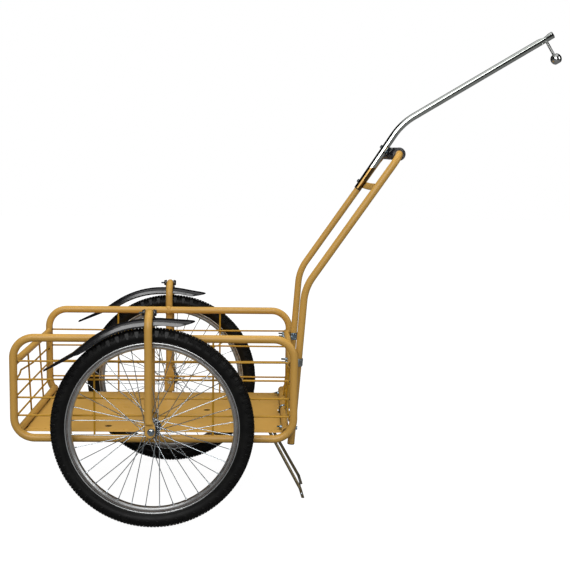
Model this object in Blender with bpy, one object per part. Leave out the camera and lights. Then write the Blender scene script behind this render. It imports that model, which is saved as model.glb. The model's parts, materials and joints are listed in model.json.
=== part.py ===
"""A two-wheeled bicycle trailer: an open wire-sided tray between two 24-inch wheels, each held in a tube hoop,
with a push handle, a drawbar bolted to it that ends in a hitch ball, and a fold-away stand.

Metres, +Z up, +X forward, the right side at -Y. The origin is on the ground under the middle of the trailer's
length. Sizes are worked out from the axle line, so every piece hangs from an empty that sets that line behind
the origin."""

import math

import bmesh
import bpy
from mathutils import Vector

# Clearances and facets
GAP = 0.0003
RUNNING_CLEARANCE = 0.0005
TUBE_SIDES = 12
WIRE_SIDES = 8
SPOKE_SIDES = 3
WHEEL_SEGMENTS = 36
FRAME_CORNER_STEPS = 6
HUB_SEGMENTS = 20
HITCH_SIDES = 16

# Rims, tyres and inner tubes
RIM_SEAT_RADIUS = 0.2535
RIM_WIDTH = 0.027
RIM_WALL = 0.002
RIM_HOOK_HEIGHT = 0.006
RIM_WELL_DEPTH = 0.0035
RIM_DEPTH = 0.0135
TYRE_HEIGHT = 0.050
TYRE_WIDTH = 0.049
TYRE_WALL = 0.004
TYRE_TREAD = 0.005
TYRE_BEAD = 0.0027
INNER_TUBE_CLEARANCE = 0.0005

# Hubs and spokes
SPOKE_COUNT = 36
SPOKE_RADIUS = 0.0011
SPOKE_CROSS_ANGLE = math.radians(60)
SPOKE_CIRCLE_RADIUS = 0.0190
SPOKE_RIM_OFFSET = 0.0020
SPOKE_HEAD = 0.002
HUB_LENGTH = 0.069
HUB_FLANGE_SPACING = 0.058
HUB_FLANGE_RADIUS = 0.0225
HUB_FLANGE_THICKNESS = 0.003
HUB_BARREL_RADIUS = 0.0120
HUB_CUP_WALL = 0.0042
HUB_CUP_RADIUS = 0.0108
HUB_CUP_DEPTH = 0.006
HUB_BORE_CLEARANCE = 0.0012

# Axles, their cones and nuts
AXLE_RADIUS = 0.0048
AXLE_END = 0.0025
CONE_RADIUS = 0.0088
AXLE_NUT_ACROSS_FLATS = 0.0150
AXLE_NUT_HEIGHT = 0.0050
WASHER_RADIUS = 0.0112
WASHER_THICKNESS = 0.0015

# Side frames, seen from the axle line
FRAME_MIDDLE_X = -0.0017
FRAME_LENGTH = 0.8448
FRAME_HEIGHT = 0.3072
FRAME_DROP = 0.0494
FRAME_SPACING = 0.5972
FRAME_CORNER_RADIUS = 0.062
FRAME_TUBE_RADIUS = 0.0120

# Cross tubes between the side frames
BAR_RADIUS = 0.0110
BAR_END_INSET = 0.005
REAR_LOWER_BAR_SETBACK = 0.0160
REAR_LOWER_BAR_RISE = 0.0250
FRONT_LOWER_BAR_SETBACK = 0.0237
FRONT_LOWER_BAR_RISE = 0.0234
REAR_TOP_BAR_RISE = 0.2289
FRONT_TOP_BAR_RISE = 0.2299
FRONT_TOP_BAR_SETBACK = 0.0080

# Wire mesh
WIRE_RADIUS = 0.0025
WIRE_WELD_OFFSET = 0.004
SIDE_WIRE_RISES = (0.0689, 0.1242, 0.1795, 0.2358)
SIDE_UPRIGHTS = (-0.1801, 0.1782)
END_WIRE_RISES = (0.0570, 0.1187, 0.1730)
END_UPRIGHT_TOPS = (-0.0950, 0.0915)
END_UPRIGHT_FEET = (-0.0440, 0.1610)
END_UPRIGHT_TAIL = 0.006

# Floor
FLOOR_THICKNESS = 0.002
FLOOR_LIP = 0.0006
FLOOR_BELOW_BAR = 0.0075
FLOOR_SIDE_GAP = 0.0096
FLOOR_HOLE_RADIUS = 0.011
FLOOR_HOLES = ((-0.1499, -0.2097), (0.1458, 0.0123))
FLOOR_NOTCH_WIDTH = 0.100
FLOOR_NOTCH_DEPTH = 0.0092

# Wheel hoops
HOOP_TUBE_RADIUS = 0.01175
HOOP_WIDTH = 0.0910
HOOP_OFFSET_X = -0.0035
HOOP_ABOVE_TYRE = 0.0430
HOOP_SHOULDER = 0.018
HOOP_LEG_CORNER = 0.006
OUTER_LEG_WIDTH = 0.031
OUTER_LEG_THICKNESS = 0.009
OUTER_LEG_TAIL = 0.0315
OUTER_LEG_FLAT_TOP = 0.0265
INNER_LEG_WIDTH = 0.035
INNER_LEG_THICKNESS = 0.0045
INNER_LEG_TAIL = 0.0415
INNER_LEG_FLAT_TOP = 0.0525
INNER_LEG_HOLE_RADIUS = 0.0035
INNER_LEG_HOLE_DROP = 0.0190

# Mudguards and the ears that hold them
GUARD_WIDTH = 0.057
GUARD_DEPTH = 0.019
GUARD_THICKNESS = 0.002
GUARD_END_DEPTH = 0.004
GUARD_END_WIDTH_SHARE = 0.62
GUARD_REAR_TAPER = 0.157
GUARD_FRONT_TAPER = 0.040
GUARD_TILTS = {"right": math.radians(5.7), "left": 0.0}
# Corners of its crest, as far ahead of the bolt and above it, and the radii that round them
GUARD_REAR_END = (-0.3275, -0.1385)
GUARD_KINK = (-0.2383, -0.0955)
GUARD_REAR_SHOULDER = (-0.1197, -0.0155)
GUARD_FRONT_SHOULDER = (0.0200, -0.0155)
GUARD_BILL = (0.0865, -0.0278)
GUARD_TIP = (0.1265, -0.0345)
GUARD_KINK_RADIUS = 0.030
GUARD_SHOULDER_RADIUS = 0.300
GUARD_BILL_RADIUS = 0.050
EAR_WIDTH = 0.020
EAR_THICKNESS = 0.003
EAR_ABOVE_BOLT = 0.010
EAR_CORNER = 0.005
EAR_ROOT = 0.0017

# Push handle, measured along its legs from where they meet the lower cross tube
HANDLE_TUBE_RADIUS = 0.0112
HANDLE_LEG_INSET = 0.0575
HANDLE_LEG_TAIL = 0.0490
HANDLE_KINK_AT = 0.4370
HANDLE_KINK_RADIUS = 0.150
HANDLE_UPPER_ANGLE = math.radians(55.25)
HANDLE_UPPER_LENGTH = 0.4970
HANDLE_CORNER_RADIUS = 0.045

# Grips and tube plugs
GRIP_RADIUS = 0.0160
GRIP_RIDGE_HEIGHT = 0.0022
GRIP_RIDGES = 5
GRIP_FLANGE_RADIUS = 0.0205
GRIP_FLANGE_THICKNESS = 0.004
GRIP_INNER_GAP = 0.0175
PLUG_HEAD = 0.003
PLUG_STEM_WALL = 0.004
PLUG_STEM_LENGTH = 0.010

# Bolts and straps that hold the handle's legs
BOLT_RADIUS = 0.003
BOLT_ACROSS_FLATS = 0.010
BOLT_HEAD_HEIGHT = 0.0042
BOLT_NUT_HEIGHT = 0.0060
STRAP_THICKNESS = 0.0025
STRAP_HEIGHT = 0.024
STRAP_BOLT_REACH = 0.028
STRAP_EAR_MARGIN = 0.007
STRAP_BEND_RADIUS = 0.0035
STRAP_BOLT_TIP = 0.0125
LEG_BOLT_TIP = 0.0085
GUARD_BOLT_TIP = 0.010

# Drawbar, measured along its lower run from where it crosses the handle
DRAWBAR_RADIUS = 0.0112
DRAWBAR_LOWER_ANGLE = math.radians(56.6)
DRAWBAR_BELOW = 0.1530
DRAWBAR_ABOVE = 0.0963
DRAWBAR_BEND_RADIUS = 0.200
DRAWBAR_UPPER_ANGLE = math.radians(31.04)
DRAWBAR_UPPER_LENGTH = 0.5543
DRAWBAR_BOLT_TIP = 0.006
DIMPLE_RADIUS = 0.030
DIMPLE_DEPTH = 0.004
SPACER_THICKNESS = 0.0048
SPACER_SIZE = 0.024
STRIP_THICKNESS = 0.003
STRIP_WIDTH = 0.022
STRIP_ABOVE_END = 0.0215

# Hitch
HITCH_FROM_END = 0.025
HITCH_PIN_RADIUS = 0.00475
HITCH_PIN_SEAT = 0.003
HITCH_REACH = 0.072
HITCH_BALL_RADIUS = 0.018
HITCH_BALL_HEIGHT = 0.031

# Stand and its bracket
STAND_ROD_RADIUS = 0.005
STAND_BEHIND_BAR = 0.0684
STAND_ANGLE = math.radians(28.9)
STAND_TOP_WIDTH = 0.0948
STAND_FOOT_WIDTH = 0.1534
STAND_BEND_RADIUS = 0.012
STAND_KNEE_HEIGHT = 0.030
STAND_FOOT_ANGLE = math.radians(17.0)
BRACE_HEIGHT = 0.024
BRACE_THICKNESS = 0.003
BRACE_DEPTH = 0.012
SLEEVE_WALL = 0.003
SLEEVE_WELD = 0.001
BRACKET_THICKNESS = 0.003
BRACKET_WIDTH = 0.050
BRACKET_MARGIN = 0.008
U_BOLT_RADIUS = 0.0025
U_BOLT_TIP = 0.005
U_BOLT_NUT_HEIGHT = 0.004
U_BOLT_ACROSS_FLATS = 0.008

# Colour, roughness and metallic value of each finish
FINISHES = {
    "ochre_paint": ((0.482, 0.292, 0.071), 0.38, 0.0),
    "tyre_rubber": ((0.018, 0.018, 0.020), 0.75, 0.0),
    "tube_rubber": ((0.030, 0.030, 0.032), 0.60, 0.0),
    "alloy": ((0.680, 0.690, 0.700), 0.32, 1.0),
    "steel": ((0.560, 0.580, 0.600), 0.30, 1.0),
    "zinc": ((0.480, 0.540, 0.580), 0.35, 1.0),
    "yellow_zinc": ((0.420, 0.360, 0.200), 0.40, 1.0),
    "chrome": ((0.780, 0.780, 0.760), 0.12, 1.0),
    "black_plastic": ((0.025, 0.025, 0.028), 0.30, 0.0),
    "black_rubber": ((0.022, 0.022, 0.024), 0.65, 0.0),
}

SIDES = {"right": -1, "left": 1}
X, Y, Z = Vector((1, 0, 0)), Vector((0, 1, 0)), Vector((0, 0, 1))


def upright(x, z):
    """A point or direction in the trailer's upright middle plane."""
    return Vector((x, 0, z))


def slope(angle):
    """The unit vector at an angle above the forward horizontal."""
    return upright(math.cos(angle), math.sin(angle))


def rear_of(along):
    """Square to a direction in the middle plane, towards its rear or upper side."""
    return upright(-along.z, along.x)


def hole_radius(shaft_radius, sides=TUBE_SIDES, clearance=GAP):
    """Radius of a faceted hole whose flats clear a shaft."""
    return (shaft_radius + clearance) / math.cos(math.pi / sides)


# Levels and lines that follow from the sizes
TYRE_RADIUS = RIM_SEAT_RADIUS + TYRE_HEIGHT
AXLE_Z = TYRE_RADIUS
FRAME_BOTTOM_Z = AXLE_Z - FRAME_DROP
FRAME_TOP_Z = FRAME_BOTTOM_Z + FRAME_HEIGHT
FRAME_REAR_X = FRAME_MIDDLE_X - FRAME_LENGTH / 2
FRAME_FRONT_X = FRAME_MIDDLE_X + FRAME_LENGTH / 2
FRAME_Y = FRAME_SPACING / 2
WHEEL_Y = FRAME_Y + FRAME_TUBE_RADIUS + GAP + HOOP_TUBE_RADIUS + HOOP_WIDTH / 2
HOOP_TOP = TYRE_RADIUS + HOOP_ABOVE_TYRE
INNER_PLATE_BACK = -HOOP_WIDTH / 2 - HOOP_TUBE_RADIUS
OUTER_PLATE_FACE = HOOP_WIDTH / 2 + OUTER_LEG_THICKNESS / 2
REAR_LOWER_BAR = upright(FRAME_REAR_X + REAR_LOWER_BAR_SETBACK, FRAME_BOTTOM_Z + REAR_LOWER_BAR_RISE)
FRONT_LOWER_BAR = upright(FRAME_FRONT_X - FRONT_LOWER_BAR_SETBACK, FRAME_BOTTOM_Z + FRONT_LOWER_BAR_RISE)
REAR_TOP_BAR = upright(FRAME_REAR_X, FRAME_BOTTOM_Z + REAR_TOP_BAR_RISE)
FRONT_TOP_BAR = upright(FRAME_FRONT_X - FRONT_TOP_BAR_SETBACK, FRAME_BOTTOM_Z + FRONT_TOP_BAR_RISE)
FLOOR_TOP_Z = FRONT_LOWER_BAR.z - FLOOR_BELOW_BAR

HANDLE_Y = FRAME_Y - HANDLE_LEG_INSET
LEG_ALONG = (FRONT_TOP_BAR - FRONT_LOWER_BAR).normalized()
LEG_REAR = rear_of(LEG_ALONG)
LEG_OFFSET = BAR_RADIUS + HANDLE_TUBE_RADIUS + GAP
LEG_AT_LOWER_BAR = FRONT_LOWER_BAR - LEG_REAR * LEG_OFFSET
LEG_AT_TOP_BAR = FRONT_TOP_BAR - LEG_REAR * LEG_OFFSET
LEG_END = LEG_AT_LOWER_BAR - LEG_ALONG * HANDLE_LEG_TAIL
HANDLE_KINK = LEG_AT_LOWER_BAR + LEG_ALONG * HANDLE_KINK_AT
HANDLE_BAR = HANDLE_KINK + slope(HANDLE_UPPER_ANGLE) * HANDLE_UPPER_LENGTH
HANDLE_STRAIGHT_Y = HANDLE_Y - HANDLE_CORNER_RADIUS

DRAWBAR_LOWER = slope(DRAWBAR_LOWER_ANGLE)
DRAWBAR_UPPER = slope(DRAWBAR_UPPER_ANGLE)
DRAWBAR_REAR = rear_of(DRAWBAR_LOWER)
DRAWBAR_OFFSET = HANDLE_TUBE_RADIUS + GAP + SPACER_THICKNESS + GAP + DRAWBAR_RADIUS
DRAWBAR_CROSSING = HANDLE_BAR + DRAWBAR_REAR * DRAWBAR_OFFSET
DRAWBAR_FOOT = DRAWBAR_CROSSING - DRAWBAR_LOWER * DRAWBAR_BELOW
DRAWBAR_BEND = DRAWBAR_CROSSING + DRAWBAR_LOWER * DRAWBAR_ABOVE
DRAWBAR_TIP = DRAWBAR_BEND + DRAWBAR_UPPER * DRAWBAR_UPPER_LENGTH
STRIP_CROSSING = DRAWBAR_FOOT + DRAWBAR_LOWER * STRIP_ABOVE_END
HITCH_DOWN = -rear_of(DRAWBAR_UPPER)
HITCH_TOP = DRAWBAR_TIP - DRAWBAR_UPPER * HITCH_FROM_END
HITCH_BALL = HITCH_TOP + HITCH_DOWN * HITCH_REACH

BRACKET_TOP_Z = FRONT_LOWER_BAR.z - BAR_RADIUS - GAP
SLEEVE_BORE = hole_radius(STAND_ROD_RADIUS, TUBE_SIDES, RUNNING_CLEARANCE)
SLEEVE_RADIUS = SLEEVE_BORE + SLEEVE_WALL
STAND_PIVOT = upright(
    FRONT_LOWER_BAR.x - STAND_BEHIND_BAR, BRACKET_TOP_Z - BRACKET_THICKNESS - SLEEVE_RADIUS + SLEEVE_WELD
)
U_BOLT_REACH = BAR_RADIUS + GAP + U_BOLT_RADIUS

REAR_END_X = FRAME_REAR_X - FRAME_TUBE_RADIUS
FRONT_END_X = HITCH_BALL.x + HITCH_BALL_RADIUS
ORIGIN_X = (REAR_END_X + FRONT_END_X) / 2


# Outlines: closed loops of (across, up) pairs

def circle(radius, sides=TUBE_SIDES):
    turns = [2 * math.pi * k / sides for k in range(sides)]
    return [(radius * math.cos(turn), radius * math.sin(turn)) for turn in turns]


def hexagon(across_flats):
    """A hexagon with a point in the middle of each flat, to match a round outline's count."""
    radii = (across_flats / 2 / math.cos(math.pi / 6), across_flats / 2)
    return [
        (radii[k % 2] * math.cos(k * math.pi / 6), radii[k % 2] * math.sin(k * math.pi / 6)) for k in range(12)
    ]


def flattened(width, thickness, sides=TUBE_SIDES):
    """A tube pressed flat: two half rounds joined by straight sides."""
    spread = (width - thickness) / 2
    points = []
    for across, up in circle(thickness / 2, sides):
        side = 0 if abs(across) < thickness * 1e-6 else math.copysign(1, across)
        points.append((across + side * spread, up))
    return points


def rectangle(width, height):
    return [(width / 2, height / 2), (-width / 2, height / 2), (-width / 2, -height / 2), (width / 2, -height / 2)]


# Meshes

def skin(bm, rings, closed=False):
    """Skins rings of equal count. An open run of rings gets flat ends."""
    rows = [[bm.verts.new(point) for point in ring] for ring in rings]
    count = len(rings[0])
    following = rows[1:] + rows[:1] if closed else rows[1:]
    for row, after in zip(rows, following):
        for i in range(count):
            j = (i + 1) % count
            bm.faces.new((row[i], row[j], after[j], after[i]))
    if not closed:
        bm.faces.new(list(reversed(rows[0])))
        bm.faces.new(rows[-1])


def sweep(bm, stations, across, closed=False):
    """Carries outlines along (point, tangent, outline) stations, starting with their first axis along across."""
    rings = []
    for point, along, outline in stations:
        across = (across - along * along.dot(across)).normalized()
        up = along.cross(across)
        rings.append([point + across * a + up * b for a, b in outline])
    skin(bm, rings, closed)


def rounded(corners, radii, steps, closed=False):
    """(point, tangent) pairs along straight runs whose corners are arcs of the given radii. Arcs may meet."""
    count = len(corners)
    bends = range(count) if closed else range(1, count - 1)
    path = []
    for bend, radius, arc_steps in zip(bends, radii, steps):
        corner = corners[bend]
        before = (corner - corners[bend - 1]).normalized()
        after = (corners[(bend + 1) % count] - corner).normalized()
        angle = before.angle(after)
        inward = (after - before * before.dot(after)).normalized()
        start = corner - before * radius * math.tan(angle / 2)
        for k in range(arc_steps + 1):
            turn = angle * k / arc_steps
            point = start + before * radius * math.sin(turn) + inward * radius * (1 - math.cos(turn))
            if path and (point - path[-1][0]).length < GAP:
                continue
            path.append((point, before * math.cos(turn) + inward * math.sin(turn)))
    if not closed:
        path.insert(0, (corners[0], (corners[1] - corners[0]).normalized()))
        path.append((corners[-1], (corners[-1] - corners[-2]).normalized()))
    return path


def along_path(path, outline):
    return [(point, tangent, outline) for point, tangent in path]


def with_end_bores(stations, outline, depth):
    """Adds a blind bore to each end of an open sweep."""
    first, first_along = stations[0][:2]
    last, last_along = stations[-1][:2]
    opening = [(first + first_along * depth, first_along, outline), (first, first_along, outline)]
    closing = [(last, last_along, outline), (last - last_along * depth, last_along, outline)]
    return opening + stations + closing


def rod(bm, start, end, outline, across):
    along = (end - start).normalized()
    sweep(bm, [(start, along, outline), (end, along, outline)], across)


def stack(bm, origin, along, across, sections, closed=False):
    """Rings of (distance along the axis, outline) pairs. A closed stack is a piece with a bore."""
    sweep(bm, [(origin + along * at, along, outline) for at, outline in sections], across, closed)


def turned(bm, profile, segments):
    """Turns a closed profile of (radius, sideways) pairs about the sideways axis, with a facet facing down.
    A radius is measured to the middle of a facet."""
    rings = []
    for k in range(segments):
        turn = 2 * math.pi * (k + 0.5) / segments - math.pi / 2
        spoke = slope(turn) / math.cos(math.pi / segments)
        rings.append([spoke * radius + Y * sideways for radius, sideways in profile])
    skin(bm, rings, closed=True)


def mirrored(half):
    """A closed profile from its half at positive sideways."""
    return half + [(radius, -sideways) for radius, sideways in reversed(half)]


# Objects

def material(name, finish):
    colour, roughness, metallic = FINISHES[finish]
    made = bpy.data.materials.new(name)
    made.use_nodes = True
    shader = made.node_tree.nodes["Principled BSDF"]
    shader.inputs["Base Color"].default_value = (*colour, 1)
    shader.inputs["Roughness"].default_value = roughness
    shader.inputs["Metallic"].default_value = metallic
    made.diffuse_color = (*colour, 1)
    return made


def place(name, bm, parent, location=(0, 0, 0)):
    bmesh.ops.recalc_face_normals(bm, faces=bm.faces[:])
    mesh = bpy.data.meshes.new(name)
    bm.to_mesh(mesh)
    bm.free()
    mesh.shade_smooth()
    mesh.set_sharp_from_angle(angle=math.radians(46))
    made = bpy.data.objects.new(name, mesh)
    bpy.context.scene.collection.objects.link(made)
    made.parent = parent
    made.location = location
    return made


def piece(name, bm, finish, parent, location=(0, 0, 0)):
    made = place(name, bm, parent, location)
    made.data.materials.append(material(name, finish))
    return made


def tool(name, bm, parent, location=(0, 0, 0)):
    """A shape that only cuts or joins others."""
    made = place(name, bm, parent, location)
    made.hide_render = True
    made.display_type = "WIRE"
    return made


def shape(made, operation, *tools):
    for other in tools:
        modifier = made.modifiers.new(other.name, "BOOLEAN")
        modifier.operation = operation
        modifier.solver = "EXACT"
        modifier.object = other


def empty(name, parent, location):
    made = bpy.data.objects.new(name, None)
    bpy.context.scene.collection.objects.link(made)
    made.parent = parent
    made.location = location
    return made


# Side frames and cross tubes

def into_corner(z):
    """How far a height lies past the start of the side frames' rounded corners."""
    return max(FRAME_BOTTOM_Z + FRAME_CORNER_RADIUS - z, z - FRAME_TOP_Z + FRAME_CORNER_RADIUS, 0.0)


def frame_loop(radius):
    corners = [
        upright(FRAME_REAR_X, FRAME_BOTTOM_Z),
        upright(FRAME_FRONT_X, FRAME_BOTTOM_Z),
        upright(FRAME_FRONT_X, FRAME_TOP_Z),
        upright(FRAME_REAR_X, FRAME_TOP_Z),
    ]
    bm = bmesh.new()
    path = rounded(corners, [FRAME_CORNER_RADIUS] * 4, [FRAME_CORNER_STEPS] * 4, closed=True)
    sweep(bm, along_path(path, circle(radius)), Y, closed=True)
    return bm


def side_frames(trailer):
    """The two rounded tube loops, and the tools that shape tube ends to them."""
    copes = []
    for side, sign in SIDES.items():
        at = Y * sign * FRAME_Y
        piece(f"{side}_side_frame", frame_loop(FRAME_TUBE_RADIUS), "ochre_paint", trailer, at)
        copes.append(tool(f"{side}_frame_cope", frame_loop(FRAME_TUBE_RADIUS + GAP), trailer, at))
    return copes


def cross_bar(name, at, trailer, copes, *holes):
    reach = FRAME_Y - BAR_END_INSET
    bm = bmesh.new()
    rod(bm, at - Y * reach, at + Y * reach, circle(BAR_RADIUS), X)
    made = piece(name, bm, "ochre_paint", trailer)
    shape(made, "DIFFERENCE", *copes, *holes)


def cross_bars(trailer, copes, bolt_holes):
    cross_bar("rear_top_bar", REAR_TOP_BAR, trailer, copes)
    cross_bar("rear_lower_bar", REAR_LOWER_BAR, trailer, copes)
    cross_bar("front_top_bar", FRONT_TOP_BAR, trailer, copes, bolt_holes)
    cross_bar("front_lower_bar", FRONT_LOWER_BAR, trailer, copes, bolt_holes)


# Wire mesh

def tube_surface(radius, offset):
    """How far a round surface of this radius stands out beside a wire whose middle is offset from it."""
    nearest = max(abs(offset) - WIRE_RADIUS, 0.0)
    return math.sqrt(max(radius**2 - nearest**2, 0.0)) + GAP


def level_reach(z, offset):
    """Half the length of a level wire between a side frame's ends, set sideways by this offset."""
    flats = math.cos(math.pi / 4 / FRAME_CORNER_STEPS)
    bend = flats * (FRAME_CORNER_RADIUS - tube_surface(FRAME_TUBE_RADIUS, offset))
    return FRAME_LENGTH / 2 - FRAME_CORNER_RADIUS + math.sqrt(bend**2 - (into_corner(z) + WIRE_RADIUS) ** 2)


def frame_distance(x, z):
    """How far a point in a side frame's plane is from the centreline of its tube's ends."""
    ahead = abs(x - FRAME_MIDDLE_X) - FRAME_LENGTH / 2 + FRAME_CORNER_RADIUS
    return abs(math.hypot(ahead, into_corner(z)) - FRAME_CORNER_RADIUS)


def side_meshes(trailer):
    """Level wires between the frame's ends, welded to two uprights between its rails."""
    wire = circle(WIRE_RADIUS, WIRE_SIDES)
    level_offset = -WIRE_WELD_OFFSET / 2
    upright_offset = WIRE_WELD_OFFSET / 2
    for side, sign in SIDES.items():
        levels = bmesh.new()
        for rise in SIDE_WIRE_RISES:
            z = FRAME_BOTTOM_Z + rise
            reach = X * level_reach(z, level_offset)
            middle = Vector((FRAME_MIDDLE_X, sign * level_offset, z))
            rod(levels, middle - reach, middle + reach, wire, Y)
        uprights = bmesh.new()
        inset = tube_surface(FRAME_TUBE_RADIUS, upright_offset)
        for ahead in SIDE_UPRIGHTS:
            foot = Vector((FRAME_MIDDLE_X + ahead, sign * upright_offset, FRAME_BOTTOM_Z + inset))
            rod(uprights, foot, foot + Z * (FRAME_HEIGHT - 2 * inset), wire, Y)
        at = Y * sign * FRAME_Y
        made = piece(f"{side}_side_mesh", levels, "ochre_paint", trailer, at)
        shape(made, "UNION", tool(f"{side}_mesh_uprights", uprights, trailer, at))


def end_mesh(name, top, foot, outward, trailer):
    """Level wires between the side frames, welded outside two leaning uprights that run from top to foot."""
    wire = circle(WIRE_RADIUS, WIRE_SIDES)
    levels = bmesh.new()
    for rise in END_WIRE_RISES:
        z = FRAME_BOTTOM_Z + rise
        x = foot.x + (top.x - foot.x) * (z - foot.z) / (top.z - foot.z) + outward * WIRE_WELD_OFFSET
        reach = Y * (FRAME_Y - tube_surface(FRAME_TUBE_RADIUS, frame_distance(x, z)))
        rod(levels, upright(x, z) - reach, upright(x, z) + reach, wire, X)
    uprights = bmesh.new()
    for top_y, foot_y in zip(END_UPRIGHT_TOPS, END_UPRIGHT_FEET):
        rod(uprights, foot + Y * foot_y, top + Y * top_y, wire, X)
    made = piece(name, levels, "ochre_paint", trailer)
    shape(made, "UNION", tool(f"{name}_uprights", uprights, trailer))


def behind_legs(z):
    """Where a wire just behind the handle's legs lies at a height."""
    nearest = LEG_AT_LOWER_BAR + LEG_REAR * (HANDLE_TUBE_RADIUS + GAP + WIRE_RADIUS)
    return nearest.x + LEG_ALONG.x * (z - nearest.z) / LEG_ALONG.z


def front_upright_end(bar, side):
    """Where the front mesh's uprights meet a cross tube, on its upper (1) or lower (-1) side."""
    x = behind_legs(bar.z + side * BAR_RADIUS) - WIRE_WELD_OFFSET
    z = bar.z + side * tube_surface(BAR_RADIUS, x - bar.x)
    return upright(behind_legs(z) - WIRE_WELD_OFFSET, z)


def end_meshes(trailer):
    rear_x = REAR_TOP_BAR.x + WIRE_WELD_OFFSET
    rear_top = upright(rear_x, REAR_TOP_BAR.z - tube_surface(BAR_RADIUS, WIRE_WELD_OFFSET))
    rear_foot = REAR_LOWER_BAR - X * (BAR_RADIUS + GAP + WIRE_RADIUS) - Z * END_UPRIGHT_TAIL
    end_mesh("rear_mesh", rear_top, rear_foot, -1, trailer)
    front_top = front_upright_end(FRONT_TOP_BAR, -1)
    front_foot = front_upright_end(FRONT_LOWER_BAR, 1)
    end_mesh("front_mesh", front_top, front_foot, 1, trailer)


# Floor

def beside_bar(below):
    """How far a cross tube's side stands out from its middle at a level below it."""
    return math.sqrt(max(BAR_RADIUS**2 - below**2, 0.0)) + GAP


def floor(trailer):
    """A sheet between the lower cross tubes, its ends thinned to lips that reach in under them, with two drain
    holes and a notch round the stand's clamp. Nothing hangs over its flat top."""
    width = 2 * (FRAME_Y - FRAME_TUBE_RADIUS - FLOOR_SIDE_GAP)
    middle_z = FLOOR_TOP_Z - FLOOR_THICKNESS / 2
    lip_top = FLOOR_TOP_Z - FLOOR_THICKNESS + FLOOR_LIP
    lip_z = lip_top - FLOOR_LIP / 2
    lip_rear = REAR_LOWER_BAR.x + beside_bar(REAR_LOWER_BAR.z - lip_top)
    lip_front = FRONT_LOWER_BAR.x - beside_bar(FRONT_LOWER_BAR.z - lip_top)
    flat_rear = REAR_LOWER_BAR.x + BAR_RADIUS + GAP
    flat_front = FRONT_LOWER_BAR.x - BAR_RADIUS - GAP
    sheet, lip = rectangle(width, FLOOR_THICKNESS), rectangle(width, FLOOR_LIP)
    stations = [
        (upright(lip_rear, lip_z), X, lip),
        (upright(flat_rear, middle_z), X, sheet),
        (upright(flat_front, middle_z), X, sheet),
        (upright(lip_front, lip_z), X, lip),
    ]
    bm = bmesh.new()
    sweep(bm, stations, Y)
    made = piece("floor_pan", bm, "ochre_paint", trailer)
    holes = bmesh.new()
    for ahead, sideways in FLOOR_HOLES:
        middle = Vector((FRAME_MIDDLE_X + ahead, sideways, middle_z))
        rod(holes, middle - Z * FLOOR_THICKNESS, middle + Z * FLOOR_THICKNESS, circle(FLOOR_HOLE_RADIUS), X)
    notch = rectangle(FLOOR_NOTCH_WIDTH, 3 * FLOOR_THICKNESS)
    notch_start = upright(flat_front - FLOOR_NOTCH_DEPTH, middle_z)
    rod(holes, notch_start, notch_start + X * 2 * FLOOR_NOTCH_DEPTH, notch, Y)
    shape(made, "DIFFERENCE", tool("floor_holes", holes, trailer))


# Wheel hoops and mudguards

def hoop_stations(sign):
    """From the inner leg's foot over the wheel to the outer leg's foot, about the middle of the wheel."""
    half = HOOP_WIDTH / 2
    arc_z = HOOP_TOP - half
    tube = circle(HOOP_TUBE_RADIUS)
    inner_plate_y = INNER_PLATE_BACK + INNER_LEG_THICKNESS / 2
    inner_plate = flattened(INNER_LEG_WIDTH, INNER_LEG_THICKNESS)
    inner_foot = flattened(INNER_LEG_WIDTH - 2 * HOOP_LEG_CORNER, INNER_LEG_THICKNESS)
    outer_plate = flattened(OUTER_LEG_WIDTH, OUTER_LEG_THICKNESS)
    outer_foot = flattened(OUTER_LEG_WIDTH - 2 * HOOP_LEG_CORNER, OUTER_LEG_THICKNESS)
    inner = [
        (inner_plate_y, -INNER_LEG_TAIL, inner_foot),
        (inner_plate_y, -INNER_LEG_TAIL + HOOP_LEG_CORNER, inner_plate),
        (inner_plate_y, INNER_LEG_FLAT_TOP, inner_plate),
        (-half, INNER_LEG_FLAT_TOP + HOOP_SHOULDER, tube),
    ]
    outer = [
        (half, OUTER_LEG_FLAT_TOP + HOOP_SHOULDER, tube),
        (half, OUTER_LEG_FLAT_TOP, outer_plate),
        (half, -OUTER_LEG_TAIL + HOOP_LEG_CORNER, outer_plate),
        (half, -OUTER_LEG_TAIL, outer_foot),
    ]
    x = HOOP_OFFSET_X
    stations = [(Vector((x, sign * y, z)), Z, outline) for y, z, outline in inner]
    arc_steps = 10
    for k in range(arc_steps + 1):
        turn = math.pi * k / arc_steps
        point = Vector((x, -sign * half * math.cos(turn), arc_z + half * math.sin(turn)))
        stations.append((point, Vector((0, sign * math.sin(turn), math.cos(turn))), tube))
    stations += [(Vector((x, sign * y, z)), -Z, outline) for y, z, outline in outer]
    return stations


def wheel_hoop(side, sign, trailer, centre):
    bm = bmesh.new()
    sweep(bm, hoop_stations(sign), X)
    made = piece(f"{side}_wheel_hoop", bm, "ochre_paint", trailer, centre)
    holes = bmesh.new()
    axle_hole = circle(hole_radius(AXLE_RADIUS))
    axle_reach = Y * (HOOP_WIDTH / 2 + 2 * HOOP_TUBE_RADIUS)
    rod(holes, -axle_reach, axle_reach, axle_hole, X)
    low = Y * sign * (INNER_PLATE_BACK + INNER_LEG_THICKNESS / 2) - Z * INNER_LEG_HOLE_DROP
    rod(holes, low - Y * INNER_LEG_THICKNESS, low + Y * INNER_LEG_THICKNESS, circle(INNER_LEG_HOLE_RADIUS), X)
    bolt = upright(HOOP_OFFSET_X, HOOP_TOP)
    through = X * 2 * HOOP_TUBE_RADIUS
    rod(holes, bolt - through, bolt + through, circle(hole_radius(BOLT_RADIUS)), Y)
    shape(made, "DIFFERENCE", tool(f"{side}_hoop_holes", holes, trailer, centre))


def tilted(x, z, tilt):
    return upright(x * math.cos(tilt) - z * math.sin(tilt), x * math.sin(tilt) + z * math.cos(tilt))


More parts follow.
